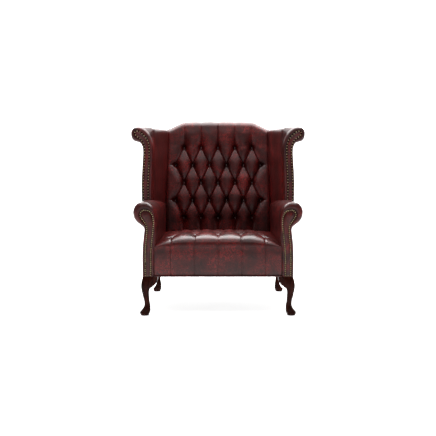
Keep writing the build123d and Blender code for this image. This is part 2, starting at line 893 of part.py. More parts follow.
with BuildPart() as back_cover:
    add(back_form(0, back_half_width))
    crest_edges = back_cover.edges().filter_by(lambda e: e.length > back_half_width)
    crest_edges = crest_edges.filter_by(lambda e: e.center().Z > overall_height - crest_drop).sort_by(Axis.Y)
    fillet(crest_edges[0], crest_front_round)
    crest_edges = back_cover.edges().filter_by(lambda e: e.length > back_half_width)
    crest_edges = crest_edges.filter_by(lambda e: e.center().Z > overall_height - crest_drop).sort_by(Axis.Y)
    fillet(crest_edges[-1], crest_rear_round)
    add(back_form(back_cover_thickness, body_width), mode=Mode.SUBTRACT)
    add(tufting(back_planes, back_cuts, back_button_diameter), mode=Mode.SUBTRACT)

back_buttons = button_domes(
    tuft_planes(back_button_points, tuft_depth - clearance), back_button_diameter, back_button_rise
)

with BuildPart() as back_foam:
    add(back_form(back_cover_thickness + clearance, back_half_width))
    with BuildPart(mode=Mode.PRIVATE) as frame_room:
        room_outline = crest_outline(crest_rail_drop - clearance, 0, rail_reach)
        extrude(room_outline, amount=2 * overall_depth, both=True)
        webbing_depth = frame_front + 2 * strap_thickness + 2 * clearance
        room_layer = rear_layer(0, overall_height, 0, webbing_depth)
        extrude(room_layer, amount=body_width, both=True, mode=Mode.INTERSECT)
    add(frame_room.part, mode=Mode.SUBTRACT)

# Seat: crowned both ways, rolled over at the front and tucked under the inside back
def seat_form(inset):
    """The seat between the arms, drawn in at its front and top by an inset."""
    low = leg_height
    border = front + seat_front_setback
    far = rear + back_lean
    near = front - overrun
    start = (border + inset, seat_border_height - inset)
    roll_end = (border + seat_roll_depth, seat_roll_height - inset)
    crown = (front + seat_crown_depth, seat_crown_height - inset)
    seat_end = (front + seat_depth + overrun, seat_back_height - inset)
    slant = 1 - sin(radians(45))
    roll_bend = (
        start[0] + (roll_end[0] - start[0]) * slant,
        roll_end[1] - (roll_end[1] - start[1]) * slant,
    )
    with BuildPart() as form:
        with BuildSketch(side_view(0)) as side:
            with BuildLine():
                ThreePointArc(start, roll_bend, roll_end)
                ThreePointArc(roll_end, crown, seat_end)
                Polyline(seat_end, (seat_end[0], low), (start[0], low), start)
            make_face()
        extrude(amount=body_width, both=True)
        with BuildSketch(front_view(front)) as across:
            with BuildLine():
                ThreePointArc(
                    (-half_width, seat_side_height - inset),
                    (0, seat_crown_height - inset),
                    (half_width, seat_side_height - inset),
                )
                Polyline(
                    (half_width, seat_side_height - inset),
                    (half_width, low),
                    (-half_width, low),
                    (-half_width, seat_side_height - inset),
                )
            make_face()
        extrude(amount=2 * overall_depth, both=True, mode=Mode.INTERSECT)
        with BuildSketch(Plane.XY.offset(low)) as plan:
            near_x = arm_inner_x(near) - clearance
            far_x = arm_inner_x(far) - clearance
            with BuildLine():
                Polyline((near_x, near), (far_x, far), (-far_x, far), (-near_x, near), close=True)
            make_face()
        extrude(amount=overall_height, mode=Mode.INTERSECT)
        with BuildSketch(side_view(0)) as behind:
            with BuildLine():
                Polyline(
                    (back_face(0) - clearance, 0),
                    (back_face(overall_height) - clearance, overall_height),
                    (rear + body_depth, overall_height),
                    (rear + body_depth, 0),
                    close=True,
                )
            make_face()
        extrude(amount=body_width, both=True, mode=Mode.SUBTRACT)
    return form


seat_block = seat_form(0)


def on_seat(x, y):
    """Point of the seat's crown over a place in plan, and the way it faces."""
    hits = seat_block.part.find_intersection_points(Axis((x, y, 0), (0, 0, 1)))
    point, normal = max(hits, key=lambda hit: hit[0].Z)
    return point, normal if normal.Z > 0 else -normal


seat_rows = [
    (front + seat_row_start + row * seat_row_pitch, row_places(row, seat_columns, -1, seat_button_pitch))
    for row in range(seat_row_count)
]

seat_button_points = [on_seat(x, y) for y, xs in seat_rows for x in xs]


def seat_cuts():
    """Folds between neighbouring buttons of the seat, and forward from its first row."""
    cuts = []
    for (y, xs), (next_y, next_xs) in zip(seat_rows, seat_rows[1:]):
        for x in xs:
            for next_x in next_xs:
                if abs(next_x - x) < seat_button_pitch:
                    cuts.append(seat_fold((x, y), (next_x, next_y)))
    first_y, first_xs = seat_rows[0]
    for x in first_xs:
        cuts.append(seat_fold((x, first_y), (x, first_y - seat_pleat_length)))
    return cuts


def seat_fold(start, end):
    """Roots of a fold in the seat between two places in plan, and the way it faces."""
    start_point, start_normal = on_seat(*start)
    end_point, end_normal = on_seat(*end)
    return start_point - start_normal * pleat_depth, end_point - end_normal * pleat_depth, start_normal


with BuildPart() as seat_cover:
    add(seat_block)
    add(seat_form(seat_cover_thickness), mode=Mode.SUBTRACT)
    with BuildSketch(Plane((0, front_rail_back, 0))):
        Rectangle(body_width, body_depth, align=(Align.CENTER, Align.MIN))
    extrude(amount=foam_level, mode=Mode.SUBTRACT)
    add(
        tufting(tuft_planes(seat_button_points, tuft_depth), seat_cuts(), seat_button_diameter),
        mode=Mode.SUBTRACT,
    )

seat_buttons = button_domes(
    tuft_planes(seat_button_points, tuft_depth - clearance), seat_button_diameter, seat_button_rise
)

with BuildPart() as seat_foam:
    add(seat_form(seat_cover_thickness + clearance))
    with BuildSketch(Plane.XY):
        Rectangle(2 * body_width, 2 * overall_depth)
    extrude(amount=foam_level, mode=Mode.SUBTRACT)

with BuildPart() as seat_base_cloth:
    with BuildSketch(Plane.XY.offset(deck_level)):
        cloth_front = front + seat_front_setback + seat_cover_thickness + clearance
        with BuildLine():
            Polyline(
                (arm_inner_x(cloth_front) - clearance, cloth_front),
                (arm_inner_x(back_rail_front) - clearance, back_rail_front),
                (clearance - arm_inner_x(back_rail_front), back_rail_front),
                (clearance - arm_inner_x(cloth_front), cloth_front),
                close=True,
            )
        make_face()
    extrude(amount=cloth_thickness)
    add(spring_clips.part, mode=Mode.SUBTRACT)

with BuildPart() as front_welt:
    welt_reach = arm_inner_x(front) - 2 * clearance
    welt_depth = front + seat_front_setback - welt_diameter / 2 - clearance
    with BuildSketch(side_view(-welt_reach)):
        with Locations((welt_depth, leg_height + welt_diameter / 2)):
            Circle(welt_diameter / 2)
    extrude(amount=2 * welt_reach)

# Outside back and the cloth under the seat
with BuildPart() as outside_back_panel:
    with BuildSketch(rear_plane):
        panel_low = up_slope(leg_height)
        with BuildLine():
            right_side = [(a * half_width, up_slope(b * overall_height)) for a, b in panel_shares]
            crest_side = [
                (a * back_half_width, up_slope(overall_height - panel_top_drop - b * crest_drop))
                for a, b in reversed(crest_shares)
            ]
            Polyline((0, panel_low), (half_width - panel_setback, panel_low), *right_side, crest_side[0])
            Spline(*crest_side)
            Line(crest_side[-1], (0, panel_low))
        make_face()
        mirror(about=Plane.YZ)
    extrude(amount=-panel_thickness)

with BuildPart() as dust_cover:
    with BuildSketch(Plane.XY.offset(leg_height - cloth_thickness)):
        with Locations((0, (front + rear) / 2)):
            Rectangle(body_width - 2 * cloth_margin, body_depth - 2 * cloth_margin)
            notch = leg_block - cloth_margin + clearance
            notch_pitch = (body_width - 2 * cloth_margin - notch, body_depth - 2 * cloth_margin - notch)
            with GridLocations(*notch_pitch, 2, 2):
                Rectangle(notch, notch, mode=Mode.SUBTRACT)
    extrude(amount=cloth_thickness)


# Facings on the arm fronts and wing fronts, each edged with nail heads
def placed(shares, left, bottom, width, height, margin):
    """Points of an outline given as shares of its own box, grown by a margin all round."""
    return [
        (left - margin + a * (width + 2 * margin), bottom - margin + b * (height + 2 * margin))
        for a, b in shares
    ]


def facing_outline(points, y):
    """Closed outline of a facing at depth y."""
    with BuildSketch(front_view(y)) as outline:
        with BuildLine():
            Spline(*points)
            Line(points[-1], points[0])
        make_face()
    return outline.sketch


def facing_front(point):
    """Plane at a point, facing the front."""
    return Plane(origin=point, x_dir=(1, 0, 0), z_dir=(0, -1, 0))


def nail_places(points, y, pitch):
    """Evenly spaced planes along the nail line, facing the front."""
    with BuildLine(front_view(y)):
        trim = Spline(*points)
    count = round(trim.length / pitch)
    return [facing_front(trim @ (k / count)) for k in range(count + 1)]


def foot_nail_places(points, y, pitch):
    """Planes for the short row that joins the nail line's two ends."""
    with BuildLine(front_view(y)):
        foot = Line(points[0], points[-1])
    count = round(foot.length / pitch)
    return [facing_front(foot @ (k / count)) for k in range(1, count)]


# Nail lines as shares of the box that each fills, from the outer foot round the head
arm_nail_shares = (
    (0.62, 0), (0.63, 0.24), (0.6, 0.45), (0.5, 0.65), (0.61, 0.806), (0.89, 0.885),
    (0.99, 0.935), (0.83, 0.985), (0.55, 1), (0.28, 0.98), (0.083, 0.933), (0, 0.83),
    (0.04, 0.69), (0.13, 0.5), (0.2, 0.3), (0.22, 0),
)
wing_nail_shares = (
    (0.084, 0), (0.12, 0.24), (0.072, 0.42), (0.02, 0.62), (0, 0.758), (0.05, 0.84), (0.19, 0.9),
    (0.45, 0.958), (0.69, 0.99), (0.86, 1), (0.98, 0.985), (1, 0.96), (0.93, 0.935), (0.74, 0.9),
    (0.52, 0.865), (0.39, 0.81), (0.32, 0.705), (0.35, 0.54), (0.43, 0.366), (0.45, 0.24), (0.434, 0),
)

arm_nail_box = (arm_nail_inner_x, arm_nail_bottom, arm_nail_width, arm_nail_height)
wing_nail_box = (wing_nail_inner_x, wing_nail_bottom, wing_nail_width, wing_nail_height)
arm_nail_points = placed(arm_nail_shares, *arm_nail_box, 0)
wing_nail_points = placed(wing_nail_shares, *wing_nail_box, 0)
arm_facing_points = placed(arm_nail_shares, *arm_nail_box, nail_margin)
wing_facing_points = placed(wing_nail_shares, *wing_nail_box, nail_margin)

with BuildPart() as right_arm_facing:
    extrude(facing_outline(arm_facing_points, arm_start), amount=facing_thickness, dir=(0, -1, 0))
    with BuildSketch(Plane.XY.offset(leg_height)):
        Rectangle(body_width, 2 * overall_depth)
    extrude(amount=-leg_height, mode=Mode.SUBTRACT)

with BuildPart() as right_wing_facing:
    extrude(facing_outline(wing_facing_points, wing_start), amount=facing_thickness, dir=(0, -1, 0))
    add(arm_room, mode=Mode.SUBTRACT)

arm_nail_planes = nail_places(arm_nail_points, front, arm_nail_pitch)
arm_nail_planes += foot_nail_places(arm_nail_points, front, arm_nail_pitch)
wing_nail_planes = nail_places(wing_nail_points, wing_start - facing_thickness, wing_nail_pitch)
right_arm_nails = button_domes(arm_nail_planes, nail_diameter, nail_rise)
right_wing_nails = button_domes(wing_nail_planes, nail_diameter, nail_rise)

mirrored = {
    "arm_facing": right_arm_facing,
    "wing_facing": right_wing_facing,
    "arm_nails": right_arm_nails,
    "wing_nails": right_wing_nails,
    "wing_cover": right_wing_cover,
    "wing_pad": right_wing_pad,
    "wing_post": right_wing_post,
    "wing_top_rail": right_wing_top_rail,
    "outside_wing_panel": right_outside_wing_panel,
    "outside_arm_panel": right_outside_arm_panel,
    "arm_cover": right_arm_cover,
    "arm_pad": right_arm_pad,
    "arm_rail": right_arm_rail,
    "seat_rail": right_seat_rail,
    "front_post": right_front_post,
    "back_upright": right_back_upright,
    "front_leg": right_front_leg,
    "rear_leg": right_rear_leg,
}

single = {
    "front_seat_rail": front_seat_rail,
    "back_seat_rail": back_seat_rail,
    "corner_blocks": corner_blocks,
    "lower_back_rail": lower_back_rail,
    "crest_rail": crest_rail,
    "back_webbing": back_webbing,
    "seat_springs": seat_springs,
    "spring_clips": spring_clips,
    "seat_base_cloth": seat_base_cloth,
    "seat_foam": seat_foam,
    "seat_cover": seat_cover,
    "seat_buttons": seat_buttons,
    "back_foam": back_foam,
    "back_cover": back_cover,
    "back_buttons": back_buttons,
    "outside_back_panel": outside_back_panel,
    "dust_cover": dust_cover,
    "front_welt": front_welt,
    "knee_brackets": knee_brackets,
    "leg_bolts": leg_bolts,
}

os.makedirs("parts", exist_ok=True)

for name, piece in single.items():
    piece.part.label = name
    export_step(piece.part, f"parts/{name}.step")

for name, piece in mirrored.items():
    piece.part.label = f"right_{name}"
    export_step(piece.part, f"parts/right_{name}.step")
    with BuildPart() as other_side:
        mirror(piece.part, about=Plane.YZ)
    other_side.part.label = f"left_{name}"
    export_step(other_side.part, f"parts/left_{name}.step")
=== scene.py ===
"""Looks of a two-seat wing settee in buttoned antique leather.

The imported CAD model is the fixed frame. Each operator makes one piece, or one group of
like pieces, in metres and in the frame's own place, and hides the CAD solid it stands for.
"""

import json
import math

import bmesh
import bpy
import numpy as np
from mathutils import Matrix, Vector


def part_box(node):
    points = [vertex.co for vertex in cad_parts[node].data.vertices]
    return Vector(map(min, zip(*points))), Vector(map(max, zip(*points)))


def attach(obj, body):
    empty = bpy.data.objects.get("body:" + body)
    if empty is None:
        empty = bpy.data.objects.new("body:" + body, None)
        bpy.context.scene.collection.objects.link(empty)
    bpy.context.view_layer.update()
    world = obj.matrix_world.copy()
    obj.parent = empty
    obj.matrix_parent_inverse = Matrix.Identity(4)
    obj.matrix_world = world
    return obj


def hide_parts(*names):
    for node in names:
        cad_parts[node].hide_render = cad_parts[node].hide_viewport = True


bl_info = {
    "name": "Buttoned wing settee",
    "version": (1, 0, 0),
    "blender": (4, 5, 0),
    "location": "View3D > Sidebar > Settee",
    "description": "Leather, trim, finishes and stage of a two-seat wing settee",
    "category": "Object",
}

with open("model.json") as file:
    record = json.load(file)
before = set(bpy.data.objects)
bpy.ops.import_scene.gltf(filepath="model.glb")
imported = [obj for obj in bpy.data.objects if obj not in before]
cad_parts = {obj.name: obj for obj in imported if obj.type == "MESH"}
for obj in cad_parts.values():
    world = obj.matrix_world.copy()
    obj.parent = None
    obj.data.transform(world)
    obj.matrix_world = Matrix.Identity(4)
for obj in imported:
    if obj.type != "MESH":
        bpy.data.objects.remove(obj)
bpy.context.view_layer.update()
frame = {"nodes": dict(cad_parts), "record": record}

MM = 0.001
ARM_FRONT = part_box("right_arm_facing")[0].y
WING_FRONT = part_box("right_wing_facing")[0].y
RAIL_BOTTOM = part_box("seat_cover")[0].z
SIDES = {"right": 1, "left": -1}

# Front outline of the right arm and the nail line inside it, point for point, from the
# inner foot over the roll to the outer foot, in millimetres across and up
ARM_EDGE = (
    (345, 211), (345, 260), (345, 310), (344, 358), (342, 400), (340, 435), (339, 470),
    (338, 503.1), (339, 536.5), (343, 565.7), (353, 591), (370, 608), (392, 617), (415, 616),
    (439.5, 607), (453.5, 589), (460.5, 567.8), (459.5, 546.9), (453.5, 527.1), (439.5, 508.3),
    (422, 494), (406, 482), (400, 468), (402, 446), (406, 412), (410, 365), (412, 300), (412, 211),
)
ARM_NAILS = (
    (365, 218), (365, 262), (365, 310), (363, 358), (359, 400), (355, 434), (351, 469),
    (348, 503.1), (349, 525), (352, 539.6), (357, 552.1), (365, 563.6), (377, 570.9), (390, 574),
    (403, 573), (414, 565.7), (420, 554.2), (419, 541.7), (412, 529.2), (402, 514.6), (393, 503.1),
    (387, 491), (385, 472), (386, 442), (390, 405), (393, 365), (395, 300), (394, 218),
)
# The same pair for the right wing, from its inner foot round the scroll
WING_EDGE = (
    (381, 590), (381, 640), (380, 700), (378, 760), (377, 820), (375, 880), (376, 923),
    (381, 955.2), (389, 982), (401, 1006), (418, 1024), (439, 1036), (463, 1041), (485, 1037),
    (500, 1022), (505.5, 1002), (501.5, 977), (488, 960), (468, 953.2), (450, 946.8), (443, 934),
    (437, 920.9), (435, 892.9), (437, 855), (440, 811), (443, 760), (445, 700), (445, 650),
    (445, 575),
)
WING_NAILS = (
    (405, 605), (406, 650), (407, 700), (404, 760), (401, 822), (399, 880), (399, 917.6),
    (403, 946.6), (411, 967), (423, 983), (436, 996), (449, 1008), (461, 1014), (473, 1015),
    (480, 1010), (481, 1003), (477, 993), (468, 983), (455, 974), (443, 963.9), (434, 948.8),
    (428, 929.5), (425, 894), (426, 855), (429, 811), (433, 760), (435, 705), (434, 650),
    (433, 605),
)
# Points of the wing's inner shoulder, by width, and where they stand at its rear: up, across
SHOULDER = MM * np.array((
    (376, 920, 376), (381, 975, 376), (389, 1036, 376.5), (401, 1044.5, 380), (418, 1047, 392),
    (439, 1048, 425), (463, 1048, 463),
))
# Height of the back's crest at distances from the middle, in millimetres
CREST = (
    (0, 1101), (100, 1101), (170, 1100.5), (207, 1099.5), (224, 1097), (238, 1091.5),
    (250, 1085), (264, 1079), (289, 1066.5), (312, 1056), (334, 1049),
)
# Side profile of the seat along its middle, in millimetres behind the arm fronts and up
SEAT_PROFILE = (
    (8, 212), (4, 240), (2, 290), (2, 330), (4, 352), (5, 368), (5, 378), (6.5, 389), (10, 399),
    (16, 408.5), (25, 417.5), (37, 425.5), (54, 433), (78, 439), (112, 443), (155, 445),
    (220, 446), (320, 443), (430, 433), (520, 420), (600, 408),
)
# Height and half width of the outside back, in metres
REAR_OUTLINE = np.array(
    ((0.211, 0.404), (0.47, 0.402), (0.6, 0.385), (0.93, 0.38), (1.01, 0.357), (1.04, 0.33))
)

# The inside back: its depth behind the arm fronts at a height, its lean and its foot
BACK_PLACE, BACK_HEIGHT, BACK_LEAN, BACK_FOOT = 0.575, 0.44, 0.2, 0.33
LEAN_ANGLE = math.atan(BACK_LEAN)
# The roll over the crest: its radius, and the share of the way up at which it starts
CREST_ROUND, CREST_SHARE = 0.04, 0.8
# The outside back: its depth behind the arm fronts at its foot, and its lean
REAR_PLACE, REAR_FOOT, REAR_LEAN = 0.74, 0.211, 0.0705
# How far before the outside back the other leather ends, and how wide its rear edges round
REAR_GAP, REAR_ROUND = 0.006, 0.012
# Rounding of the rear ends of arms and wings: how far in and how far before the end
ROLL_END = ((0.007, 0), (0.003, 0.001), (0.001, 0.003), (0, 0.007))
# Half width of the seat in front, and how much narrower it is at a depth
SEAT_HALF, TAPER, TAPER_DEPTH = 0.3455, 0.0197, 0.79
# Inward run of the wings for each metre back
SPLAY = 0.1

# The last row of buttons and how many buttons the even and the odd rows reach from the
# middle, then the border's reach in buttons, and that of the hollow round a button
BACK_TUFTS, BACK_EDGE, BACK_PIT = (4, 2.0, 2.5), 3.0, 0.015
SEAT_TUFTS, SEAT_EDGE, SEAT_PIT = (3, 2.0, 1.5), 2.55, 0.018
# Share of a row in which the diamonds turn into straight folds
ROW_END = 0.35
# Roundness of the leather between straight folds, on an even cushion, at the upper lips of a
# tucked diamond and on the border, and the lip's and the flat's share of such a diamond
STRAIGHT, CUSHION, LIP_ROUND, BORDER_ROUND, LIP, FLAT = 0.7, 0.85, 0.6, 0.6, 0.05, 0.85
# Pleats of the border: depth, width in rows, and how far past the end rows they show
PLEAT_DEPTH, PLEAT_WIDTH, PLEAT_PAST = 0.8, 0.07, 0.4

# Heights between which the inside back's folds become flutes, rise from the seat and take a
# painted shadow from it, and between which the filling swells, low and at the crest
FLUTES, FOLDS_START, PAINTED_SHADE_END = (0.955, 1.05), (0.38, 0.47), (0.45, 0.62)
BELLY, BROW = (0.42, 0.6), (0.945, 1.03)
BELLY_SWELL, BROW_SWELL, BELLY_HALF, CREASE = 0.006, 0.008, 0.34, 0.0025
# The inside back's border rounds to the wings: where it starts, its width and its depth
BORDER_START, BORDER_WIDTH, BORDER_DEPTH = 0.306, 0.026, 0.02
# Width of the creases that run down the seat's front, and the depths between which they start
FRONT_CREASE, ONTO_FRONT = 0.0045, (0.01, 0.085)
# Share of the rolled edge at which it stands out most
FULLEST = 0.72
# Swell of the side panels and the rear one, and where the side ones start behind a front
SIDE_SWELL, REAR_SWELL, PANEL_START = 0.0028, 0.006, 0.03
WELT_RADIUS, WELT_DEPTH = 0.0032, 0.003
BACK_BUTTON_RISE, SEAT_BUTTON_RISE, NAIL_RISE, NAIL_STAND = 0.0062, 0.008, 0.0032, 0.0012

# Soft lights: place, the point they aim at, width and height, and power
LIGHTS = {
    "top_softbox": ((0, 0.55, 2.2), (0, 0.3, 0.5), (2.2, 1.5), 116),
    "front_top_softbox": ((0, -1.2, 2.45), (0, 0.2, 0.7), (2.8, 1.3), 25),
    "front_softbox": ((0, -5.5, 1.0), (0, 0, 0.8), (3.2, 1.3), 16),
    "backdrop_light": ((0, 4.5, 4.0), (0, 7, 1.5), (8, 2), 220),
    "right_softbox": ((3.0, -2.4, 1.3), (0, 0, 0.6), (0.8, 2.0), 9),
    "left_softbox": ((-3.0, -2.4, 1.3), (0, 0, 0.6), (0.8, 2.0), 9),
}
STAGE_SIZE, STAGE_GLOW, ROOM_GLOW = 24, 0.75, 0.1
# The camera fitted to the photograph: place, degrees it looks down, and its focal length,
# the picture's width in pixels and the sensor's in millimetres
CAMERA_PLACE, CAMERA_DOWN = (0, -3.893, 0.77608), 3.998
FOCAL_PIXELS, WIDTH_PIXELS, SENSOR = 650.29, 436, 36


# Lines and faces
def through(points, steps=5):
    """Points of a smooth curve through the given ones, so many to each, in metres."""
    p = np.array(points, float) * MM
    p = np.vstack([2 * p[0] - p[1], p, 2 * p[-1] - p[-2]])
    made = []
    for a, b, c, d in zip(p, p[1:], p[2:], p[3:]):
        for t in np.arange(steps) / steps:
            bend = 2 * a - 5 * b + 4 * c - d
            made.append(0.5 * (2 * b + (c - a) * t + bend * t**2 + (3 * b - a - 3 * c + d) * t**3))
    return np.array(made + [p[-2]])


def lengths(line):
    """How far along a line each of its points lies."""
    return np.concatenate([[0], np.cumsum(np.hypot(*np.diff(line, axis=0).T))])


def ease(value, low, high):
    """0 below low, 1 above high, with a smooth rise between."""
    t = np.clip((value - low) / (high - low), 0, 1)
    return t * t * (3 - 2 * t)


def fall(value, low, high):
    """1 below low, 0 above high, with a smooth fall between."""
    return ease(-value, -high, -low)


def rear_face(z):
    """Depth of the outside back at height z."""
    return ARM_FRONT + REAR_PLACE + REAR_LEAN * (z - REAR_FOOT)


def crest_height(x):
    """Height of the back's top edge at width x."""
    line = through(CREST)
    return np.interp(np.abs(x), line[:, 0], line[:, 1])


def crest_start(x):
    """Height at width x from which the inside back rolls over."""
    return crest_height(x) - CREST_ROUND * (1 - math.sin(LEAN_ANGLE))


# Making meshes
def only(piece):
    """Selects one piece alone and makes it active."""
    bpy.ops.object.select_all(action="DESELECT")
    piece.select_set(True)
    bpy.context.view_layer.objects.active = piece


def new_piece(name, points, faces, smooth_angle):
    """A closed piece from its points and faces, with its normals outwards."""
    mesh = bpy.data.meshes.new(name)
    mesh.from_pydata([tuple(p) for p in points], [], faces)
    work = bmesh.new()
    work.from_mesh(mesh)
    bmesh.ops.recalc_face_normals(work, faces=work.faces)
    work.to_mesh(mesh)
    work.free()
    piece = bpy.data.objects.new(name, mesh)
    bpy.context.scene.collection.objects.link(piece)
    only(piece)
    bpy.ops.object.shade_smooth_by_angle(angle=math.radians(smooth_angle))
    return piece


def quads(rows, columns, ring):
    """Faces of a grid of points, row after row, with its columns closed into a ring or not."""
    faces = []
    for low in range(0, (rows - 1) * columns, columns):
        for c in range(columns if ring else columns - 1):
            after = (c + 1) % columns
            faces.append((low + c, low + after, low + columns + after, low + columns + c))
    return faces


def tube(name, rings, smooth_angle):
    """A piece from rings of points, closed at both ends."""
    rings = np.array(rings)
    rows, columns = rings.shape[:2]
    faces = quads(rows, columns, True)
    faces += [tuple(range(columns)), tuple(range((rows - 1) * columns, rows * columns))]
    return new_piece(name, rings.reshape(-1, 3), faces, smooth_angle)


def pad(name, grid, smooth_angle):
    """A piece from an open grid of points whose border is closed by one flat face."""
    rows, columns = grid.shape[:2]
    border = list(range(columns))
    border += [r * columns + columns - 1 for r in range(1, rows)]
    border += [(rows - 1) * columns + c for c in range(columns - 2, -1, -1)]
    border += [r * columns for r in range(rows - 2, 0, -1)]
    faces = quads(rows, columns, False) + [tuple(border)]
    return new_piece(name, grid.reshape(-1, 3), faces, smooth_angle)


def piping(name, path, radius):
    """A round welt along a path of points."""
    along = np.gradient(path, axis=0)
    along /= np.linalg.norm(along, axis=1)[:, None]
    turns = np.arange(8) * math.pi / 4
    rings = []
    side = np.cross(along[0], (0.0, 1.0, 0.0))
    for point, ahead in zip(path, along):
        side = side - ahead * np.dot(side, ahead)
        side /= np.linalg.norm(side)
        other = np.cross(ahead, side)
        rings.append([point + radius * (math.cos(a) * side + math.sin(a) * other) for a in turns])
    return tube(name, rings, 80)


def nail_line_painted_shade(rings, columns, ends):
    """Painted shade of a piece made of rings, darkest at the rings by its nail line."""
    shade = np.zeros((rings, columns))
    for end in ends:
        for step, value in enumerate((1.0, 0.9, 0.45, 0.15)):
            shade[-1 - step if end else step] = value
    return shade


def store_painted_shade(piece, depths):
    """Keeps each point's painted shade, for folds, hollows and grooves, to darken its leather."""
    kept = piece.data.attributes.new("fold", "FLOAT", "POINT")
    kept.data.foreach_set("value", np.ravel(depths).astype(np.float32))


def finish_piece(piece, finish, replaced=()):
    """Gives a piece its finish, its ride on the settee and the CAD solids it stands for."""
    piece.data.materials.clear()
    piece.data.materials.append(finish_named(finish))
    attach(piece, "root")
    if replaced:
        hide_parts(*replaced)


# Buttoned leather
def buttoned(s, t, last, even_reach, odd_reach, edge, tucked=False):
    """Fullness of the leather between folds: 0 in a fold and 1 on the fullest part.

    s and t count buttons across and rows along. Even and odd rows reach different widths, and
    the border ends at the edge. Before the first row and behind the last one the folds run
    straight. Where the leather is tucked, each diamond is flat below its top button and round
    above its low one. Elsewhere it is an even cushion.
    """
    low_column = np.abs(np.sin(np.pi * s)) ** STRAIGHT
    high_column = np.abs(np.sin(np.pi * (s - last / 2))) ** STRAIGHT
    if tucked:
        row = np.clip(t, 0, last)
        # Shares of the way down the diamond from its two upper folds
        p, q = np.mod(s - row / 2, 1), 1 - np.mod(s + row / 2, 1)
        lip = np.clip(np.minimum(p, q) / LIP, 0, 1) ** LIP_ROUND
        down = (p + q) / FLAT
        diamond = lip * (0.1 + 0.9 * down / (1 + down**4) ** (1 / 4)) * (1 - p**6) * (1 - q**6)
        low_column += (diamond - low_column) * (1 - ease(-t, 0, ROW_END))
        high_column += (diamond - high_column) * (1 - ease(t, last, last + ROW_END))
    else:
        diamond = np.sin(np.pi * (s - t / 2)) * np.sin(np.pi * (s + t / 2))
        diamond = np.abs(diamond) ** CUSHION
    inner = np.where(t < 0, low_column, np.where(t > last, high_column, diamond))
    # The border rises from the outermost buttons, with a pleat at each of the wider rows
    odd_share = 1 - np.abs(np.mod(np.clip(t, 0, last), 2) - 1)
    reach = even_reach + (odd_reach - even_reach) * odd_share
    out = np.clip((np.abs(s) - reach) / max(edge - max(even_reach, odd_reach), 0.3), 0, 1)
    rise = np.sin(out * np.pi / 2) ** BORDER_ROUND
    widest = 1.0 if odd_reach > even_reach else 0.0
    gap = np.abs(np.mod(t - widest + 1, 2) - 1)
    pleat = PLEAT_DEPTH * np.exp(-((gap / PLEAT_WIDTH) ** 2)) * np.clip(1 - 1.5 * out, 0, 1)
    pleat = np.where((t > -PLEAT_PAST) & (t < last + PLEAT_PAST), 1 - pleat, 1)
    return np.where(np.abs(s) <= reach, inner, rise * pleat)


def button_places(last, even_reach, odd_reach):
    """Each button as its count across and its row."""
    places = []
    for row in range(last + 1):
        reach = odd_reach if row % 2 else even_reach
        for k in range(round(2 * reach) + 1):
            places.append((k - reach, row))
    return places


def pits(s, t, places, across, along, reach):
    """A pointed hollow round each button, from 1 at its middle to 0 some way out."""
    deep = np.zeros_like(s)
    for place_s, place_t in places:
        away = np.hypot((s - place_s) * across, (t - place_t) * along)
        deep = deep + np.exp(-away / reach)
    return np.minimum(deep, 1)


# Finishes
class Finish:
    """A material in the making, with quick ways to add nodes and to set its shader."""

    def __init__(self, name):
        self.material = bpy.data.materials.new(name)
        self.material.use_nodes = True
        self.tree = self.material.node_tree
        self.tree.nodes.clear()
        self.shader = self.add("BsdfPrincipled")
        self.add("OutputMaterial", {"Surface": self.shader.outputs[0]})
        self.place = self.add("TexCoord").outputs["Object"]

    def put(self, socket, value):
        """Joins a socket to another node's output, or gives it a value."""
        if isinstance(value, bpy.types.NodeSocket):
            self.tree.links.new(value, socket)
        else:
            socket.default_value = value

    def add(self, kind, inputs=None, **settings):
        """A new node with its settings and inputs."""
        node = self.tree.nodes.new("ShaderNode" + kind)
        for key, value in settings.items():
            setattr(node, key, value)
        for key, value in (inputs or {}).items():
            self.put(node.inputs[key], value)
        return node

    def look(self, **inputs):
        """Sets or joins the shader's inputs, with _ for each space in a name."""
        for key, value in inputs.items():
            self.put(self.shader.inputs[key.replace("_", " ")], value)

    def drawn(self, scale, shift=(0, 0, 0)):
        """Places on the piece, stretched and shifted."""
        inputs = {"Vector": self.place, "Location": shift, "Scale": scale}
        return self.add("Mapping", inputs).outputs[0]

    def noise(self, place, scale, detail, roughness=0.5, distortion=0.0):
        """Cloudy values round a half."""
        inputs = {"Vector": place, "Scale": scale, "Detail": detail}
        inputs |= {"Roughness": roughness, "Distortion": distortion}
        return self.add("TexNoise", inputs).outputs["Fac"]

    def stretched(self, value, low, high, new_low, new_high):
        """A value's span from low to high, stretched to a new one."""
        inputs = {"Value": value, "From Min": low, "From Max": high}
        inputs |= {"To Min": new_low, "To Max": new_high}
        return self.add("MapRange", inputs).outputs[0]

    def reckoned(self, operation, *values):
        """What a sum of values gives."""
        return self.add("Math", dict(enumerate(values)), operation=operation).outputs[0]

    def mixed(self, share, one, other, blend="MIX"):
        """Two colours mixed by a share."""
        inputs = {0: share, 6: one, 7: other}
        return self.add("Mix", inputs, data_type="RGBA", blend_type=blend).outputs[2]

    def ramp(self, value, *stops):
        """Colours along a value."""
        node = self.add("ValToRGB", {"Fac": value})
        band = node.color_ramp
        while len(band.elements) < len(stops):
            band.elements.new(0.5)
        for element, (place, colour) in zip(band.elements, stops):
            element.position = place
            element.color = (*colour, 1)
        return node.outputs[0]

    def bump(self, height, strength, distance, **more):
        """Normals that follow a height."""
        inputs = {"Height": height, "Strength": strength, "Distance": distance}
        return self.add("Bump", inputs | more).outputs[0]


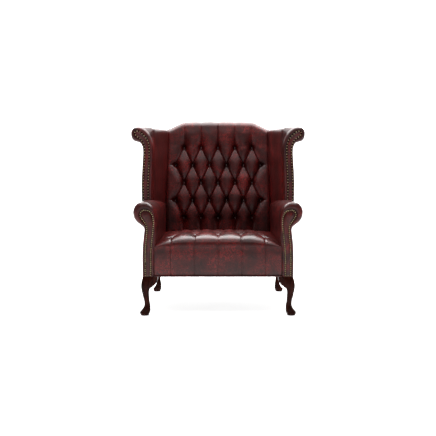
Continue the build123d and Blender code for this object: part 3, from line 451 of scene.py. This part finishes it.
def leather(name, tone, fold, seed=0.0, grain=(1, 1, 1)):
    """Antique leather: dark ground, worn red veins, fine grain and soft creases."""
    f = Finish(name)
    kept = chosen("colours")
    dark, mid, red = (
        tuple(c * tone for c in colour)
        for colour in (kept.leather_dark, kept.leather_mid, kept.leather_red)
    )
    mapped = f.drawn(grain, (seed, seed * 0.7, seed * 0.3))
    clouds = f.noise(mapped, 9.0, 4.0, 0.6, 0.6)
    marks = f.noise(mapped, 34.0, 7.0, 0.68, 1.6)
    # Veins run where the marks cross their middle value, and show more in the pale clouds
    ridge = f.reckoned("ABSOLUTE", f.reckoned("SUBTRACT", marks, 0.5))
    vein = f.stretched(ridge, 0.0, 0.026, 1.0, 0.0)
    veined = f.reckoned("MULTIPLY", vein, f.stretched(clouds, 0.44, 0.66, 0.15, 1.0))
    ground = f.ramp(clouds, (0.34, dark), (0.52, mid), (0.7, tuple(c * 1.25 for c in mid)))
    colour = f.mixed(veined, ground, (*red, 1))
    shine = 0.27
    if fold:
        # Painted shade: the fold attribute darkens the colour and lowers the shine, standing in
        # for shade in folds, hollows and grooves
        depth = f.add("Attribute", attribute_name="fold").outputs["Fac"]
        colour = f.mixed(1.0, colour, f.stretched(depth, 0.0, 1.0, 1.0, 0.28), "MULTIPLY")
        shine = f.stretched(depth, 0.0, 0.8, shine, 0.03)
    f.look(Base_Color=colour, Roughness=f.stretched(marks, 0.3, 0.7, 0.27, 0.4))
    f.look(Specular_IOR_Level=shine, Coat_Weight=0.06, Coat_Roughness=0.2)
    inputs = {"Vector": f.place, "Scale": 420.0}
    pores = f.add("TexVoronoi", inputs, feature="DISTANCE_TO_EDGE").outputs["Distance"]
    fine = f.bump(pores, 0.02, 0.0006)
    f.look(Normal=f.bump(f.noise(mapped, 26.0, 2.0), 0.25, 0.004, Normal=fine))
    return f.material


def mahogany(name):
    """Dark stained timber under a thin varnish, with the grain running up the leg."""
    f = Finish(name)
    figure = f.noise(f.drawn((60, 60, 7)), 1.0, 6.0, 0.6, 0.5)
    dark, mid, light = (0.006, 0.0012, 0.0008), (0.02, 0.0035, 0.002), (0.055, 0.01, 0.004)
    colour = f.ramp(figure, (0.3, dark), (0.55, mid), (0.75, light))
    f.look(Base_Color=colour, Roughness=0.3, Specular_IOR_Level=0.04)
    f.look(Coat_Weight=0.02, Coat_Roughness=0.12, Normal=f.bump(figure, 0.08, 0.0008))
    return f.material


def old_brass(name):
    """Dulled brass with a brown patina in patches."""
    f = Finish(name)
    patina = f.noise(f.place, 160.0, 3.0, 0.6)
    f.look(Base_Color=f.ramp(patina, (0.35, (0.2, 0.155, 0.08)), (0.6, (0.5, 0.41, 0.24))))
    f.look(Metallic=0.85, Roughness=f.stretched(patina, 0.3, 0.7, 0.55, 0.32))
    return f.material


def plain_timber(name):
    """Unfinished beech with straight grain."""
    f = Finish(name)
    figure = f.noise(f.drawn((12, 60, 60)), 1.0, 5.0, 0.6)
    colour = f.ramp(figure, (0.3, (0.42, 0.27, 0.14)), (0.7, (0.66, 0.48, 0.3)))
    f.look(Base_Color=colour, Roughness=0.6)
    return f.material


def bare_steel(name):
    """Drawn spring wire."""
    f = Finish(name)
    film = f.noise(f.place, 90.0, 3.0)
    colour = f.ramp(film, (0.35, (0.3, 0.29, 0.28)), (0.65, (0.5, 0.5, 0.51)))
    f.look(Base_Color=colour, Metallic=1.0, Roughness=0.38)
    return f.material


def woven(name, dark, light, threads):
    """Plain woven cloth with its threads along X and Y."""
    f = Finish(name)
    inputs = {"Vector": f.place, "Scale": threads, "Distortion": 0.4}
    warp, weft = (f.add("TexWave", inputs, bands_direction=axis).outputs["Fac"] for axis in "XY")
    both = f.reckoned("MULTIPLY", warp, weft)
    f.look(Base_Color=f.ramp(both, (0.0, dark), (0.8, light)), Roughness=0.9)
    f.look(Normal=f.bump(both, 0.3, 0.0005))
    return f.material


def wadding(name):
    """Cream foam and wadding."""
    f = Finish(name)
    cells = f.noise(f.place, 300.0, 2.0)
    colour = f.ramp(cells, (0.3, (0.62, 0.56, 0.38)), (0.7, (0.85, 0.8, 0.62)))
    f.look(Base_Color=colour, Roughness=0.95)
    return f.material


# How each finish is made: first those of the pieces made here, then those that the CAD
# pieces take by their slot. Leathers have a tone, painted shade in folds or not, a seed and a
# grain.
MAKERS = {
    "tufted": (leather, "leather_buttoned", 1.0, True),
    # The back's buttons take the leather at a much darker tone: painted shade for their hollows
    "button": (leather, "leather_button", 0.45, False, 1.7),
    "plain": (leather, "leather_plain", 1.0, True, 3.1),
    "wing": (leather, "leather_wing", 0.88, True, 5.2, (1.5, 1.5, 0.5)),
    "brass": (old_brass, "old_brass"),
    "mahogany": (mahogany, "mahogany_varnish"),
    "beech": (plain_timber, "plain_beech"),
    "spring_steel": (bare_steel, "spring_steel_wire"),
    "padding": (wadding, "foam_and_wadding"),
    "black_cloth": (woven, "black_cloth_weave", (0.006,) * 3, (0.02,) * 3, 260),
    "jute": (woven, "jute_weave", (0.2, 0.13, 0.06), (0.45, 0.33, 0.18), 120),
    "leather_welt": (leather, "leather_piping", 0.9, False, 7.0),
    "brass_nails": (old_brass, "old_brass_carried"),
    "leather": (leather, "leather_carried", 1.0, False, 3.1),
}
finishes = {}


def finish_named(key):
    """The finish of that name, made the first time it is asked for."""
    if key not in finishes:
        make, *choices = MAKERS[key]
        finishes[key] = make(*choices)
    return finishes[key]


# Sizes and colours that a user would change
def length(name, note, default):
    """A length in metres."""
    return bpy.props.FloatProperty(
        name=name, description=note, default=default, unit="LENGTH", precision=4
    )


def tint(name, note, default):
    """A colour."""
    return bpy.props.FloatVectorProperty(
        name=name, description=note, default=default, subtype="COLOR", size=3, min=0, max=1
    )


class SetteeButtoning(bpy.types.PropertyGroup):
    """Spacing and depth of the buttons and folds."""

    back_across: length("Back spacing", "Distance between the back's buttons across", 0.1085)
    back_up: length("Back rows", "Distance between the back's rows of buttons", 0.1115)
    back_first: length("Back first row", "Height of the back's lowest row of buttons", 0.493)
    back_depth: length("Back fold depth", "Depth of the folds in the back", 0.019)
    back_dimple: length("Back dimples", "Depth of the back's buttons below a fold", 0.016)
    back_button: length("Back button", "Diameter of a button of the back", 0.02)
    seat_across: length("Seat spacing", "Distance between the seat's buttons across", 0.129)
    seat_along: length("Seat rows", "Distance between the seat's rows of buttons", 0.11)
    seat_first: length("Seat first row", "Depth of its front row behind the arm fronts", 0.12)
    seat_depth: length("Seat fold depth", "Depth of the folds in the seat", 0.011)
    seat_dimple: length("Seat dimples", "Depth of the seat's buttons below a fold", 0.01)
    seat_button: length("Seat button", "Diameter of a button of the seat", 0.026)


class SetteeTrim(bpy.types.PropertyGroup):
    """Sizes of the rolled edges, the facings and the nail heads."""

    edge_round: length("Edge round", "Greatest depth of the rolled edge on a front", 0.026)
    edge_swell: length("Edge swell", "Most that the edge stands before the nail line", 0.004)
    facing_swell: length("Facing swell", "Most that a facing swells before its nails", 0.008)
    nail_head: length("Nail head", "Diameter of a nail head", 0.0064)
    arm_nail_pitch: length("Arm nail spacing", "Distance between nails on the arms", 0.0108)
    wing_nail_pitch: length("Wing nail spacing", "Distance between nails on the wings", 0.0164)


class SetteeColours(bpy.types.PropertyGroup):
    """Colours of the leather and of the stage."""

    leather_dark: tint("Leather dark", "Darkest tone of the leather", (0.019, 0.0025, 0.0022))
    leather_mid: tint("Leather middle", "Main tone of the leather", (0.038, 0.0038, 0.0034))
    leather_red: tint("Leather red", "Worn red veins of the leather", (0.25, 0.011, 0.011))
    floor: tint("Floor", "Colour of the floor and the backdrop", (0.9, 0.9, 0.9))


GROUPS = {"buttoning": SetteeButtoning, "trim": SetteeTrim, "colours": SetteeColours}


def chosen(group):
    """The sizes or colours of a group in this file."""
    return getattr(bpy.context.scene, "settee_" + group)


# The back
def back_surface(x, rise):
    """Points and painted shade of the inside back at widths x and shares up its front and crest.
    """
    b = chosen("buttoning")
    straight = np.clip(rise / CREST_SHARE, 0, 1)
    turn = np.clip((rise - CREST_SHARE) / (1 - CREST_SHARE), 0, 1)
    z = BACK_FOOT + (crest_start(x) - BACK_FOOT) * straight
    s = x / b.back_across
    t = (z - b.back_first) / b.back_up
    full = buttoned(s, t, *BACK_TUFTS, BACK_EDGE, tucked=True)
    # Above the last row the folds run up as flutes, narrower and shallower towards the crest
    up = ease(z, *FLUTES)
    flutes = np.abs(np.sin(np.pi * s)) ** (1.1 - 0.8 * up)
    last, _, widest = BACK_TUFTS
    above = ease(t, last, last + ROW_END) * (np.abs(s) < widest)
    full = full + (flutes - full) * above
    deep = pits(s, t, button_places(*BACK_TUFTS), b.back_across, b.back_up, BACK_PIT)
    fade = (1 - 0.5 * up - 0.35 * fall(z, *FOLDS_START)) * (1 - 0.8 * turn)
    crease = CREASE * (1 - full) ** 10
    sink = (b.back_depth * (1 - full) + crease) * fade + b.back_dimple * deep
    belly = BELLY_SWELL * np.cos(np.clip(x / BELLY_HALF, -1, 1) * np.pi / 2)
    swell = belly * ease(z, *BELLY) + BROW_SWELL * ease(z, *BROW)
    # The border rounds back to the wings
    side = np.clip((np.abs(x) - BORDER_START) / BORDER_WIDTH, 0, 1)
    tuck = BORDER_DEPTH * (1 - np.sqrt(np.clip(1 - side**2, 0, 1))) * (1 - turn)
    angle = LEAN_ANGLE + turn * (np.pi / 2 - LEAN_ANGLE)
    inwards = sink - swell * (1 - turn)
    roll = CREST_ROUND * (math.cos(LEAN_ANGLE) - np.cos(angle))
    face = ARM_FRONT + BACK_PLACE + BACK_LEAN * (z - BACK_HEIGHT)
    y = face + roll + inwards * np.cos(angle) + tuck
    height = z + CREST_ROUND * (np.sin(angle) - math.sin(LEAN_ANGLE)) - inwards * np.sin(angle)
    # Painted shade: dark in the folds, darkest in the hollows round the buttons, and a painted
    # shadow low down where the seat shades the back
    shade = 0.6 * (1 - full) ** 20 * fade + 2.4 * deep + 0.5 * fall(z, *PAINTED_SHADE_END)
    return np.stack([x, y, height], -1), np.clip(shade, 0, 1)


class SETTEE_OT_inside_back(bpy.types.Operator):
    """Buttoned inside back, rolled over its serpentine crest"""

    bl_idname = "settee.inside_back"
    bl_label = "Inside Back"

    def execute(self, context):
        up, over = np.linspace(0, CREST_SHARE, 300), np.linspace(CREST_SHARE, 1, 14)
        rises = np.concatenate([up, over[1:]])
        share, rise = np.meshgrid(np.linspace(-1, 1, 285), rises)
        reach = 0.327 + 0.007 * ease(rise, 0.1, CREST_SHARE)
        points, folds = back_surface(share * reach, rise)
        # Level from the roll to the rear, then round its rear edge
        rear = rear_face(points[-1, :, 2]) - REAR_GAP
        along = np.linspace(0, 1, 7)[1:, None]
        crest = np.repeat(points[-1:], len(along), axis=0)
        crest[:, :, 1] = points[-1, :, 1] + (rear - REAR_ROUND - points[-1, :, 1]) * along
        end = crest[-1:] + (0, 0.0085, -0.0035)
        last = end - (0, 0, REAR_ROUND)
        last[0, :, 1] = rear
        foot = points[:1].copy()
        foot[0, :, 1] = rear_face(foot[0, :, 2]) - REAR_GAP
        grid = np.concatenate([foot, points, crest, end, last])
        grid = np.pad(grid, ((0, 0), (1, 1), (0, 0)), "edge")
        ends = [0, -1]
        grid[:, ends, 1] = rear_face(grid[:, ends, 2]) - REAR_GAP
        piece = pad("inside_back", grid, 75)
        # Painted shade for the leather, none on the added rows and sides
        store_painted_shade(piece, np.pad(folds, ((1, len(crest) + 2), (1, 1))))
        finish_piece(piece, "tufted", ("back_cover", "back_foam"))
        return {"FINISHED"}


# The seat
def seat_line():
    """The seat's profile and how far along it each of its points lies."""
    line = through(SEAT_PROFILE, 8)
    return line, lengths(line)


def seat_reach(depth):
    """Half width of the seat at a depth behind the arm fronts."""
    return SEAT_HALF - TAPER * depth / TAPER_DEPTH


def seat_surface(share, path):
    """Points and painted shade of the seat at shares across it and along its profile."""
    b = chosen("buttoning")
    line, runs = seat_line()
    at = path * runs[-1]
    slope = np.gradient(line, axis=0)
    slope /= np.linalg.norm(slope, axis=1)[:, None]
    depth, middle = (np.interp(at, runs, column) for column in line.T)
    ahead, upwards = (np.interp(at, runs, column) for column in slope.T)
    x = share * seat_reach(depth)
    # The crown falls to the arms
    side_height = 0.375 + 0.03 * np.clip((depth - 0.03) / 0.55, 0, 1)
    crown = ease(middle, 0.3, 0.41) * np.clip(middle - side_height, 0, 1)
    s = x / b.seat_across
    t = (depth - b.seat_first) / b.seat_along
    full = buttoned(s, t, *SEAT_TUFTS, SEAT_EDGE)
    # Before the first row the folds narrow to creases that run down the front
    onto_front = fall(depth, *ONTO_FRONT)
    narrow = 1 - np.exp(-((((s - np.round(s)) * b.seat_across) / FRONT_CREASE) ** 2))
    narrow = np.where(np.abs(s) < 2.3, narrow, 1)
    full = full * (1 - onto_front) + narrow * onto_front
    deep = pits(s, t, button_places(*SEAT_TUFTS), b.seat_across, b.seat_along, SEAT_PIT)
    fade = 1 - 0.6 * onto_front
    behind = ease(t, SEAT_TUFTS[0] + 0.3, SEAT_TUFTS[0] + 1)
    sink = b.seat_depth * (1 - full) * fade * (1 - 0.6 * behind)
    sink = sink + b.seat_dimple * deep * (1 - onto_front)
    y = ARM_FRONT + depth + upwards * sink
    z = middle - crown * np.abs(share) ** 5 - ahead * sink
    # Painted shade: dark in the folds and round the buttons' hollows
    shade = 0.8 * (1 - full) ** 9 * fade + 0.5 * deep**2
    return np.stack([x, y, z], -1), np.clip(shade, 0, 1)


class SETTEE_OT_seat(bpy.types.Operator):
    """Buttoned seat, rolled over at the front and carried down to the rail"""

    bl_idname = "settee.seat"
    bl_label = "Seat"

    def execute(self, context):
        share, path = np.meshgrid(np.linspace(-1, 1, 190), np.linspace(0, 1, 215))
        points, folds = seat_surface(share, path)
        grid = np.pad(points, ((1, 1), (1, 1), (0, 0)), "edge")
        ends = [0, -1]
        grid[ends, :, 2] = grid[:, ends, 2] = RAIL_BOTTOM + 0.001
        piece = pad("seat", grid, 75)
        # Painted shade for the leather, none on the sides and the rear edge
        store_painted_shade(piece, np.pad(np.concatenate([folds[:1], folds]), ((0, 1), (1, 1))))
        finish_piece(piece, "tufted", ("seat_cover", "seat_foam"))
        return {"FINISHED"}


# Arms and wings
def rolled_front(edge, nails, nail_depth):
    """Rings from an outline round its swollen front edge to the nail line, and its depth."""
    width = np.hypot(*(nails - edge).T)
    t = chosen("trim")
    behind = np.clip(1.05 * width, 0.007, t.edge_round)
    swell = np.clip(0.25 * width, 0.0015, t.edge_swell)
    rings = []
    for w in np.linspace(0, 1, 15):
        if w < FULLEST:
            rise = math.sin(w / FULLEST * math.pi / 2)
            y = nail_depth + behind - (behind + swell) * rise
        else:
            y = nail_depth - swell * math.cos((w - FULLEST) / (1 - FULLEST) * math.pi / 2)
        flat = edge + (nails - edge) * (1 - math.cos(w * math.pi / 2))
        rings.append(np.stack([flat[:, 0], y, flat[:, 1]], -1))
    return rings, behind


def drawn_in(line, amount):
    """A closed outline moved inwards by an amount."""
    along = np.roll(line, -1, axis=0) - np.roll(line, 1, axis=0)
    along /= np.linalg.norm(along, axis=1)[:, None] + 1e-9
    return line + np.stack([along[:, 1], -along[:, 0]], -1) * amount


def rolls(part, lines, front, shares, section, across, finish):
    """Both sides' rolls of a part, from the outside back to the nail line on their fronts.

    section gives the outline at a share of the way back, and across its final widths.
    """
    edge, nails = (through(line) for line in lines)
    front_rings, behind = rolled_front(edge, nails, front)
    rear = rear_face(edge[:, 1]) - REAR_GAP
    rings = []
    for inset, back in ROLL_END:
        line = drawn_in(section(edge, 1), inset)
        y = rear - back
        rings.append(np.stack([across(edge, line, y, 1), y, line[:, 1]], -1))
    for share in shares:
        line = section(edge, share)
        y = front + behind + (rear - ROLL_END[-1][1] - front - behind) * share
        rings.append(np.stack([across(edge, line, y, share), y, line[:, 1]], -1))
    rings += front_rings[1:]
    for side, sign in SIDES.items():
        piece = tube(f"{side}_{part}", [ring * (sign, 1, 1) for ring in rings], 60)
        # Painted shade along the nail line on the front
        store_painted_shade(piece, nail_line_painted_shade(len(rings), len(edge), (1,)))
        finish_piece(piece, finish, (f"{side}_{part}_cover", f"{side}_{part}_pad"))


def arm_section(edge, share):
    """The arm's outline at a share of the way back, with soft ripples along the roll."""
    ripple = 0.0012 * np.sin(share * 31 + edge[:, 0] * 60) * ease(edge[:, 1], 0.45, 0.56)
    return np.stack([edge[:, 0], edge[:, 1] + ripple * share * (1 - share) * 4], -1)


def arm_across(edge, line, y, share):
    """Widths of the arm at a share of the way back, nearer the middle on the inner side."""
    x = line[:, 0]
    inner = np.clip((0.396 - x) / 0.051, 0, 1)
    return x + 0.8 * np.clip(0.345 - x, 0, 1) * share - TAPER * share * inner


class SETTEE_OT_arms(bpy.types.Operator):
    """Rolled arms, from the outside back to the nail line on their fronts"""

    bl_idname = "settee.arms"
    bl_label = "Arms"

    def execute(self, context):
        lines, shares = (ARM_EDGE, ARM_NAILS), np.linspace(0.985, 0, 52)
        rolls("arm", lines, ARM_FRONT, shares, arm_section, arm_across, "plain")
        return {"FINISHED"}


def wing_section(edge, share):
    """The wing's outline at a share of the way back, its inner shoulder square behind."""
    high = ease(edge[:, 1], 0.9, 0.975) * (1 - ease(edge[:, 0], 0.425, 0.463))
    square = high * ease(share, 0, 0.035)
    # The square shoulder only rises to its full height some way back
    lower = 0.014 * (1 - ease(share, 0.05, 0.75)) * np.clip((0.447 - edge[:, 0]) / 0.04, 0, 1)
    moved = edge.copy()
    width, height, across = SHOULDER.T
    moved[:, 1] += (np.interp(edge[:, 0], width, height) - lower - edge[:, 1]) * square
    moved[:, 0] += (np.interp(edge[:, 0], width, across) - edge[:, 0]) * square
    return moved


def wing_across(edge, line, y, share):
    """Widths of the wing, splayed inwards behind, and more so on its inner face."""
    behind = np.clip(y - WING_FRONT - 0.006, 0, 1)
    inner = 1 - ease(edge[:, 0], 0.395, 0.43)
    return line[:, 0] - (SPLAY * behind + 0.048 * inner * np.minimum(behind, 0.37))


class SETTEE_OT_wings(bpy.types.Operator):
    """Wings that curl outwards into a scroll and run back along their splay"""

    bl_idname = "settee.wings"
    bl_label = "Wings"

    def execute(self, context):
        lines, shares = (WING_EDGE, WING_NAILS), np.linspace(0.98, 0, 40)
        rolls("wing", lines, WING_FRONT, shares, wing_section, wing_across, "wing")
        return {"FINISHED"}


def facing_grid(nails, nail_depth):
    """A swollen facing between the two sides of a nail line."""
    half = len(nails) // 2
    one, other = nails[:half], nails[::-1][:half]
    width = np.hypot(*(other - one).T)
    swell = np.clip(0.27 * width, 0.002, chosen("trim").facing_swell)
    run = lengths((one + other) / 2)
    swell = swell * np.sqrt(np.clip((run[-1] - run) / 0.03, 0, 1))
    rows = []
    for w in np.linspace(0, 1, 17):
        flat = one + (other - one) * w
        y = nail_depth + 0.001 - swell * math.sin(math.pi * w) ** 0.9
        rows.append(np.stack([flat[:, 0], y, flat[:, 1]], -1))
    return np.array(rows)


class SETTEE_OT_facings(bpy.types.Operator):
    """Padded facings between the nail lines of arms and wings"""

    bl_idname = "settee.facings"
    bl_label = "Facings"

    def execute(self, context):
        parts = (("arm", ARM_NAILS, ARM_FRONT), ("wing", WING_NAILS, WING_FRONT))
        for part, line, depth in parts:
            grid = facing_grid(through(line), depth)
            for side, sign in SIDES.items():
                piece = pad(f"{side}_{part}_facing_pad", grid * (sign, 1, 1), 60)
                # Painted shade along both nail lines
                store_painted_shade(piece, nail_line_painted_shade(*grid.shape[:2], (0, 1)))
                finish_piece(piece, "plain", (f"{side}_{part}_facing",))
        return {"FINISHED"}


# Outside panels
def side_panel(line, splay, front):
    """A thin pad over an outer side, along a part of its outline, from its front back."""
    front += PANEL_START
    across = np.linspace(0, 1, len(line))
    rows = []
    for share in np.linspace(0, 1, 34):
        y = front + (rear_face(line[:, 1]) - REAR_ROUND - front) * share
        border = np.minimum(np.minimum(across, 1 - across) / 0.05, min(share, 1 - share) / 0.03)
        swell = SIDE_SWELL * np.sqrt(np.clip(border, 0, 1))
        x = line[:, 0] - splay * np.clip(y - WING_FRONT, 0, 1) + swell - 0.0005
        rows.append(np.stack([x, y, line[:, 1]], -1))
    return np.array(rows)


def rear_panel():
    """A softly swollen sheet over the whole rear, up to the crest."""
    share, rise = np.meshgrid(np.linspace(-1, 1, 70), np.linspace(0, 1, 80))
    top = crest_height(share * REAR_OUTLINE[-1, 1]) - REAR_ROUND
    z = RAIL_BOTTOM + (top - RAIL_BOTTOM) * rise
    x = share * np.interp(z, REAR_OUTLINE[:, 0], REAR_OUTLINE[:, 1])
    border = np.minimum((1 - np.abs(share)) / 0.04, np.minimum(rise, 1 - rise) / 0.03)
    y = rear_face(z) - 0.0055 + REAR_SWELL * np.sqrt(np.clip(border, 0, 1))
    return np.stack([x, y, z], -1)


class SETTEE_OT_outside_panels(bpy.types.Operator):
    """Plain outside panels of the arms, the wings and the back"""

    bl_idname = "settee.outside_panels"
    bl_label = "Outside Panels"

    def execute(self, context):
        # From below the roll to just short of the foot
        panels = {
            "outside_arm": side_panel(through(ARM_EDGE)[112:-1], 0, ARM_FRONT),
            "outside_wing": side_panel(through(WING_EDGE)[110:-4], SPLAY, WING_FRONT),
        }
        for name, grid in panels.items():
            for side, sign in SIDES.items():
                piece = pad(f"{side}_{name}", grid * (sign, 1, 1), 60)
                finish_piece(piece, "plain", (f"{side}_{name}_panel",))
        rear = rear_panel()
        finish_piece(pad("outside_back", rear, 60), "plain", ("outside_back_panel",))
        border = np.concatenate([rear[1:, 0], rear[-1, 1:-1], rear[1:, -1][::-1]])
        border[:, 1] += WELT_DEPTH
        finish_piece(piping("outside_back_welt", border, WELT_RADIUS), "plain")
        return {"FINISHED"}


# Buttons and nails
def copies(template, name, places):
    """One piece joined from copies of a template, each with its own mesh."""
    made = []
    for place in places:
        copy = bpy.data.objects.new(name, template.data.copy())
        copy.data.transform(place)
        bpy.context.scene.collection.objects.link(copy)
        made.append(copy)
    only(made[0])
    for copy in made:
        copy.select_set(True)
    bpy.ops.object.join()
    made[0].name = name
    return made[0]


def dome(name, diameter, rise, segments, rings):
    """A domed head on its own flat base, facing up at the origin."""
    bpy.ops.object.select_all(action="DESELECT")
    radius = diameter / 2
    bpy.ops.mesh.primitive_uv_sphere_add(segments=segments, ring_count=rings, radius=radius)
    head = bpy.context.active_object
    head.name = name
    bpy.ops.object.mode_set(mode="EDIT")
    bpy.ops.mesh.select_all(action="SELECT")
    base = (0, 0, -diameter * 0.06)
    bpy.ops.mesh.bisect(plane_co=base, plane_no=(0, 0, 1), clear_inner=True, use_fill=True)
    bpy.ops.mesh.select_all(action="SELECT")
    bpy.ops.transform.resize(value=(1, 1, rise / radius))
    bpy.ops.mesh.normals_make_consistent(inside=False)
    bpy.ops.object.mode_set(mode="OBJECT")
    bpy.ops.object.shade_smooth_by_angle(angle=math.radians(60))
    return head


def facing_out(point, normal):
    """Where a head stands: its base at a point and its top along the normal."""
    turn = Vector((0, 0, 1)).rotation_difference(Vector(normal)).to_matrix().to_4x4()
    return Matrix.Translation(Vector(point)) @ turn


class SETTEE_OT_buttons(bpy.types.Operator):
    """Leather buttons in the dimples of the back and the seat"""

    bl_idname = "settee.buttons"
    bl_label = "Buttons"

    def execute(self, context):
        b = chosen("buttoning")
        parts = (
            ("back", b.back_button, BACK_BUTTON_RISE, self.back_places(b), "button"),
            ("seat", b.seat_button, SEAT_BUTTON_RISE, self.seat_places(b), "tufted"),
        )
        for part, diameter, rise, places, finish in parts:
            head = dome(f"{part}_button_head", diameter, rise, 20, 12)
            piece = copies(head, f"{part}_button_heads", places)
            bpy.data.objects.remove(head)
            finish_piece(piece, finish, (f"{part}_buttons",))
        return {"FINISHED"}

    def back_places(self, b):
        """Where the buttons of the back sit."""
        rake = Vector((0, -1, BACK_LEAN)).normalized()
        places = []
        for s, row in button_places(*BACK_TUFTS):
            x = s * b.back_across
            z = b.back_first + row * b.back_up
            rise = (z - BACK_FOOT) / (crest_start(x) - BACK_FOOT) * CREST_SHARE
            points, _ = back_surface(np.array([x]), np.array([rise]))
            places.append(facing_out(points[0], rake))
        return places

    def seat_places(self, b):
        """Where the buttons of the seat sit."""
        line, runs = seat_line()
        top = np.argmax(line[:, 1] > 0.4)
        places = []
        for s, row in button_places(*SEAT_TUFTS):
            depth = b.seat_first + row * b.seat_along
            path = np.interp(depth, line[top:, 0], runs[top:]) / runs[-1]
            share = s * b.seat_across / seat_reach(depth)
            points, _ = seat_surface(np.array([share]), np.array([path]))
            lean = Vector((-s * 0.035, -0.06 if row == 0 else 0.02, 1)).normalized()
            places.append(facing_out(points[0] + np.array(lean) * 0.0005, lean))
        return places


def spaced(line, pitch):
    """Points along a line at an even spacing near the pitch."""
    runs = lengths(line)
    at = np.linspace(0, runs[-1], round(runs[-1] / pitch) + 1)
    return np.stack([np.interp(at, runs, column) for column in line.T], -1)


class SETTEE_OT_nails(bpy.types.Operator):
    """Domed nail heads along the arms' and wings' front lines"""

    bl_idname = "settee.nails"
    bl_label = "Nail Heads"

    def execute(self, context):
        t = chosen("trim")
        head = dome("nail_head", t.nail_head, NAIL_RISE, 10, 6)
        arm = spaced(through(ARM_NAILS), t.arm_nail_pitch)
        foot = spaced(np.array([arm[0], arm[-1]]), t.arm_nail_pitch)[1:-1]
        lines = {
            "arm": (np.concatenate([arm, foot]), ARM_FRONT),
            "wing": (spaced(through(WING_NAILS), t.wing_nail_pitch), WING_FRONT),
        }
        for part, (points, depth) in lines.items():
            for side, sign in SIDES.items():
                bases = [(sign * x, depth - NAIL_STAND, z) for x, z in points]
                places = [facing_out(base, (0, -1, 0)) for base in bases]
                piece = copies(head, f"{side}_{part}_nail_heads", places)
                finish_piece(piece, "brass", (f"{side}_{part}_nails",))
        bpy.data.objects.remove(head)
        return {"FINISHED"}


class SETTEE_OT_carried_finishes(bpy.types.Operator):
    """Finishes for the CAD pieces that stay: legs, frame, springs, cloths and welt"""

    bl_idname = "settee.carried_finishes"
    bl_label = "Frame and Leg Finishes"

    def execute(self, context):
        slots = {row["node"]: row["material_slot"] for row in frame["record"]["subparts"]}
        for name, node in frame["nodes"].items():
            node.data.materials.clear()
            node.data.materials.append(finish_named(slots[name]))
        return {"FINISHED"}


class SETTEE_OT_stage(bpy.types.Operator):
    """Pale floor and backdrop, soft lights and the camera at the photograph's angle"""

    bl_idname = "settee.stage"
    bl_label = "Stage"

    def execute(self, context):
        pale = Finish("pale_floor")
        pale.look(Base_Color=(*chosen("colours").floor, 1), Roughness=0.7)
        pale.look(Emission_Color=(1, 1, 1, 1), Emission_Strength=STAGE_GLOW)
        floor = self.sheet("pale_floor", (0, 0, 0), 0, pale.material)
        backdrop = self.sheet("pale_backdrop", (0, 7, 6), 90, pale.material)
        world = bpy.data.worlds.new("dim_room")
        context.scene.world = world
        world.use_nodes = True
        room = world.node_tree.nodes["Background"]
        room.inputs["Color"].default_value = (1, 1, 1, 1)
        room.inputs["Strength"].default_value = ROOM_GLOW
        for name, light in LIGHTS.items():
            self.light(name, *light)
        turned = (math.radians(90 - CAMERA_DOWN), 0, 0)
        bpy.ops.object.camera_add(location=CAMERA_PLACE, rotation=turned)
        camera = context.active_object
        camera.name = "photograph_view"
        camera.data.sensor_width = SENSOR
        camera.data.lens = FOCAL_PIXELS * SENSOR / WIDTH_PIXELS
        camera.data.clip_end = 100
        context.scene.camera = camera
        context.scene.view_settings.view_transform = "Standard"
        return {"FINISHED"}

    def sheet(self, name, place, tilt, material):
        """A large flat sheet of the stage, tilted up by so many degrees."""
        turned = (math.radians(tilt), 0, 0)
        bpy.ops.mesh.primitive_plane_add(size=STAGE_SIZE, location=place, rotation=turned)
        sheet = bpy.context.active_object
        sheet.name = name
        sheet.data.materials.append(material)
        return sheet

    def light(self, name, place, aim, size, power):
        """A soft rectangular light at a place, aimed at a point."""
        bpy.ops.object.light_add(type="AREA", location=place)
        lamp = bpy.context.active_object
        lamp.name = name
        lamp.data.shape = "RECTANGLE"
        lamp.data.size, lamp.data.size_y = size
        lamp.data.energy = power
        ahead = Vector(aim) - Vector(place)
        lamp.rotation_euler = ahead.to_track_quat("-Z", "Y").to_euler()


STEPS = (
    SETTEE_OT_carried_finishes,
    SETTEE_OT_inside_back,
    SETTEE_OT_seat,
    SETTEE_OT_arms,
    SETTEE_OT_wings,
    SETTEE_OT_facings,
    SETTEE_OT_outside_panels,
    SETTEE_OT_buttons,
    SETTEE_OT_nails,
    SETTEE_OT_stage,
)


class SETTEE_PT_panel(bpy.types.Panel):
    """Lists the settee's steps and sizes in the sidebar"""

    bl_idname = "SETTEE_PT_panel"
    bl_label = "Settee"
    bl_space_type = "VIEW_3D"
    bl_region_type = "UI"
    bl_category = "Settee"

    def draw(self, context):
        for step in STEPS:
            self.layout.operator(step.bl_idname)
        for key, group in GROUPS.items():
            box = self.layout.box()
            for name in group.__annotations__:
                box.prop(chosen(key), name)


CLASSES = (*GROUPS.values(), *STEPS, SETTEE_PT_panel)


def register():
    for entry in CLASSES:
        bpy.utils.register_class(entry)
    for key, group in GROUPS.items():
        setattr(bpy.types.Scene, "settee_" + key, bpy.props.PointerProperty(type=group))


def unregister():
    for key in GROUPS:
        delattr(bpy.types.Scene, "settee_" + key)
    for entry in reversed(CLASSES):
        bpy.utils.unregister_class(entry)


def main():
    """Builds every piece and the stage."""
    register()
    for step in STEPS:
        group, name = step.bl_idname.split(".")
        getattr(getattr(bpy.ops, group), name)()


if __name__ == "__main__":
    main()
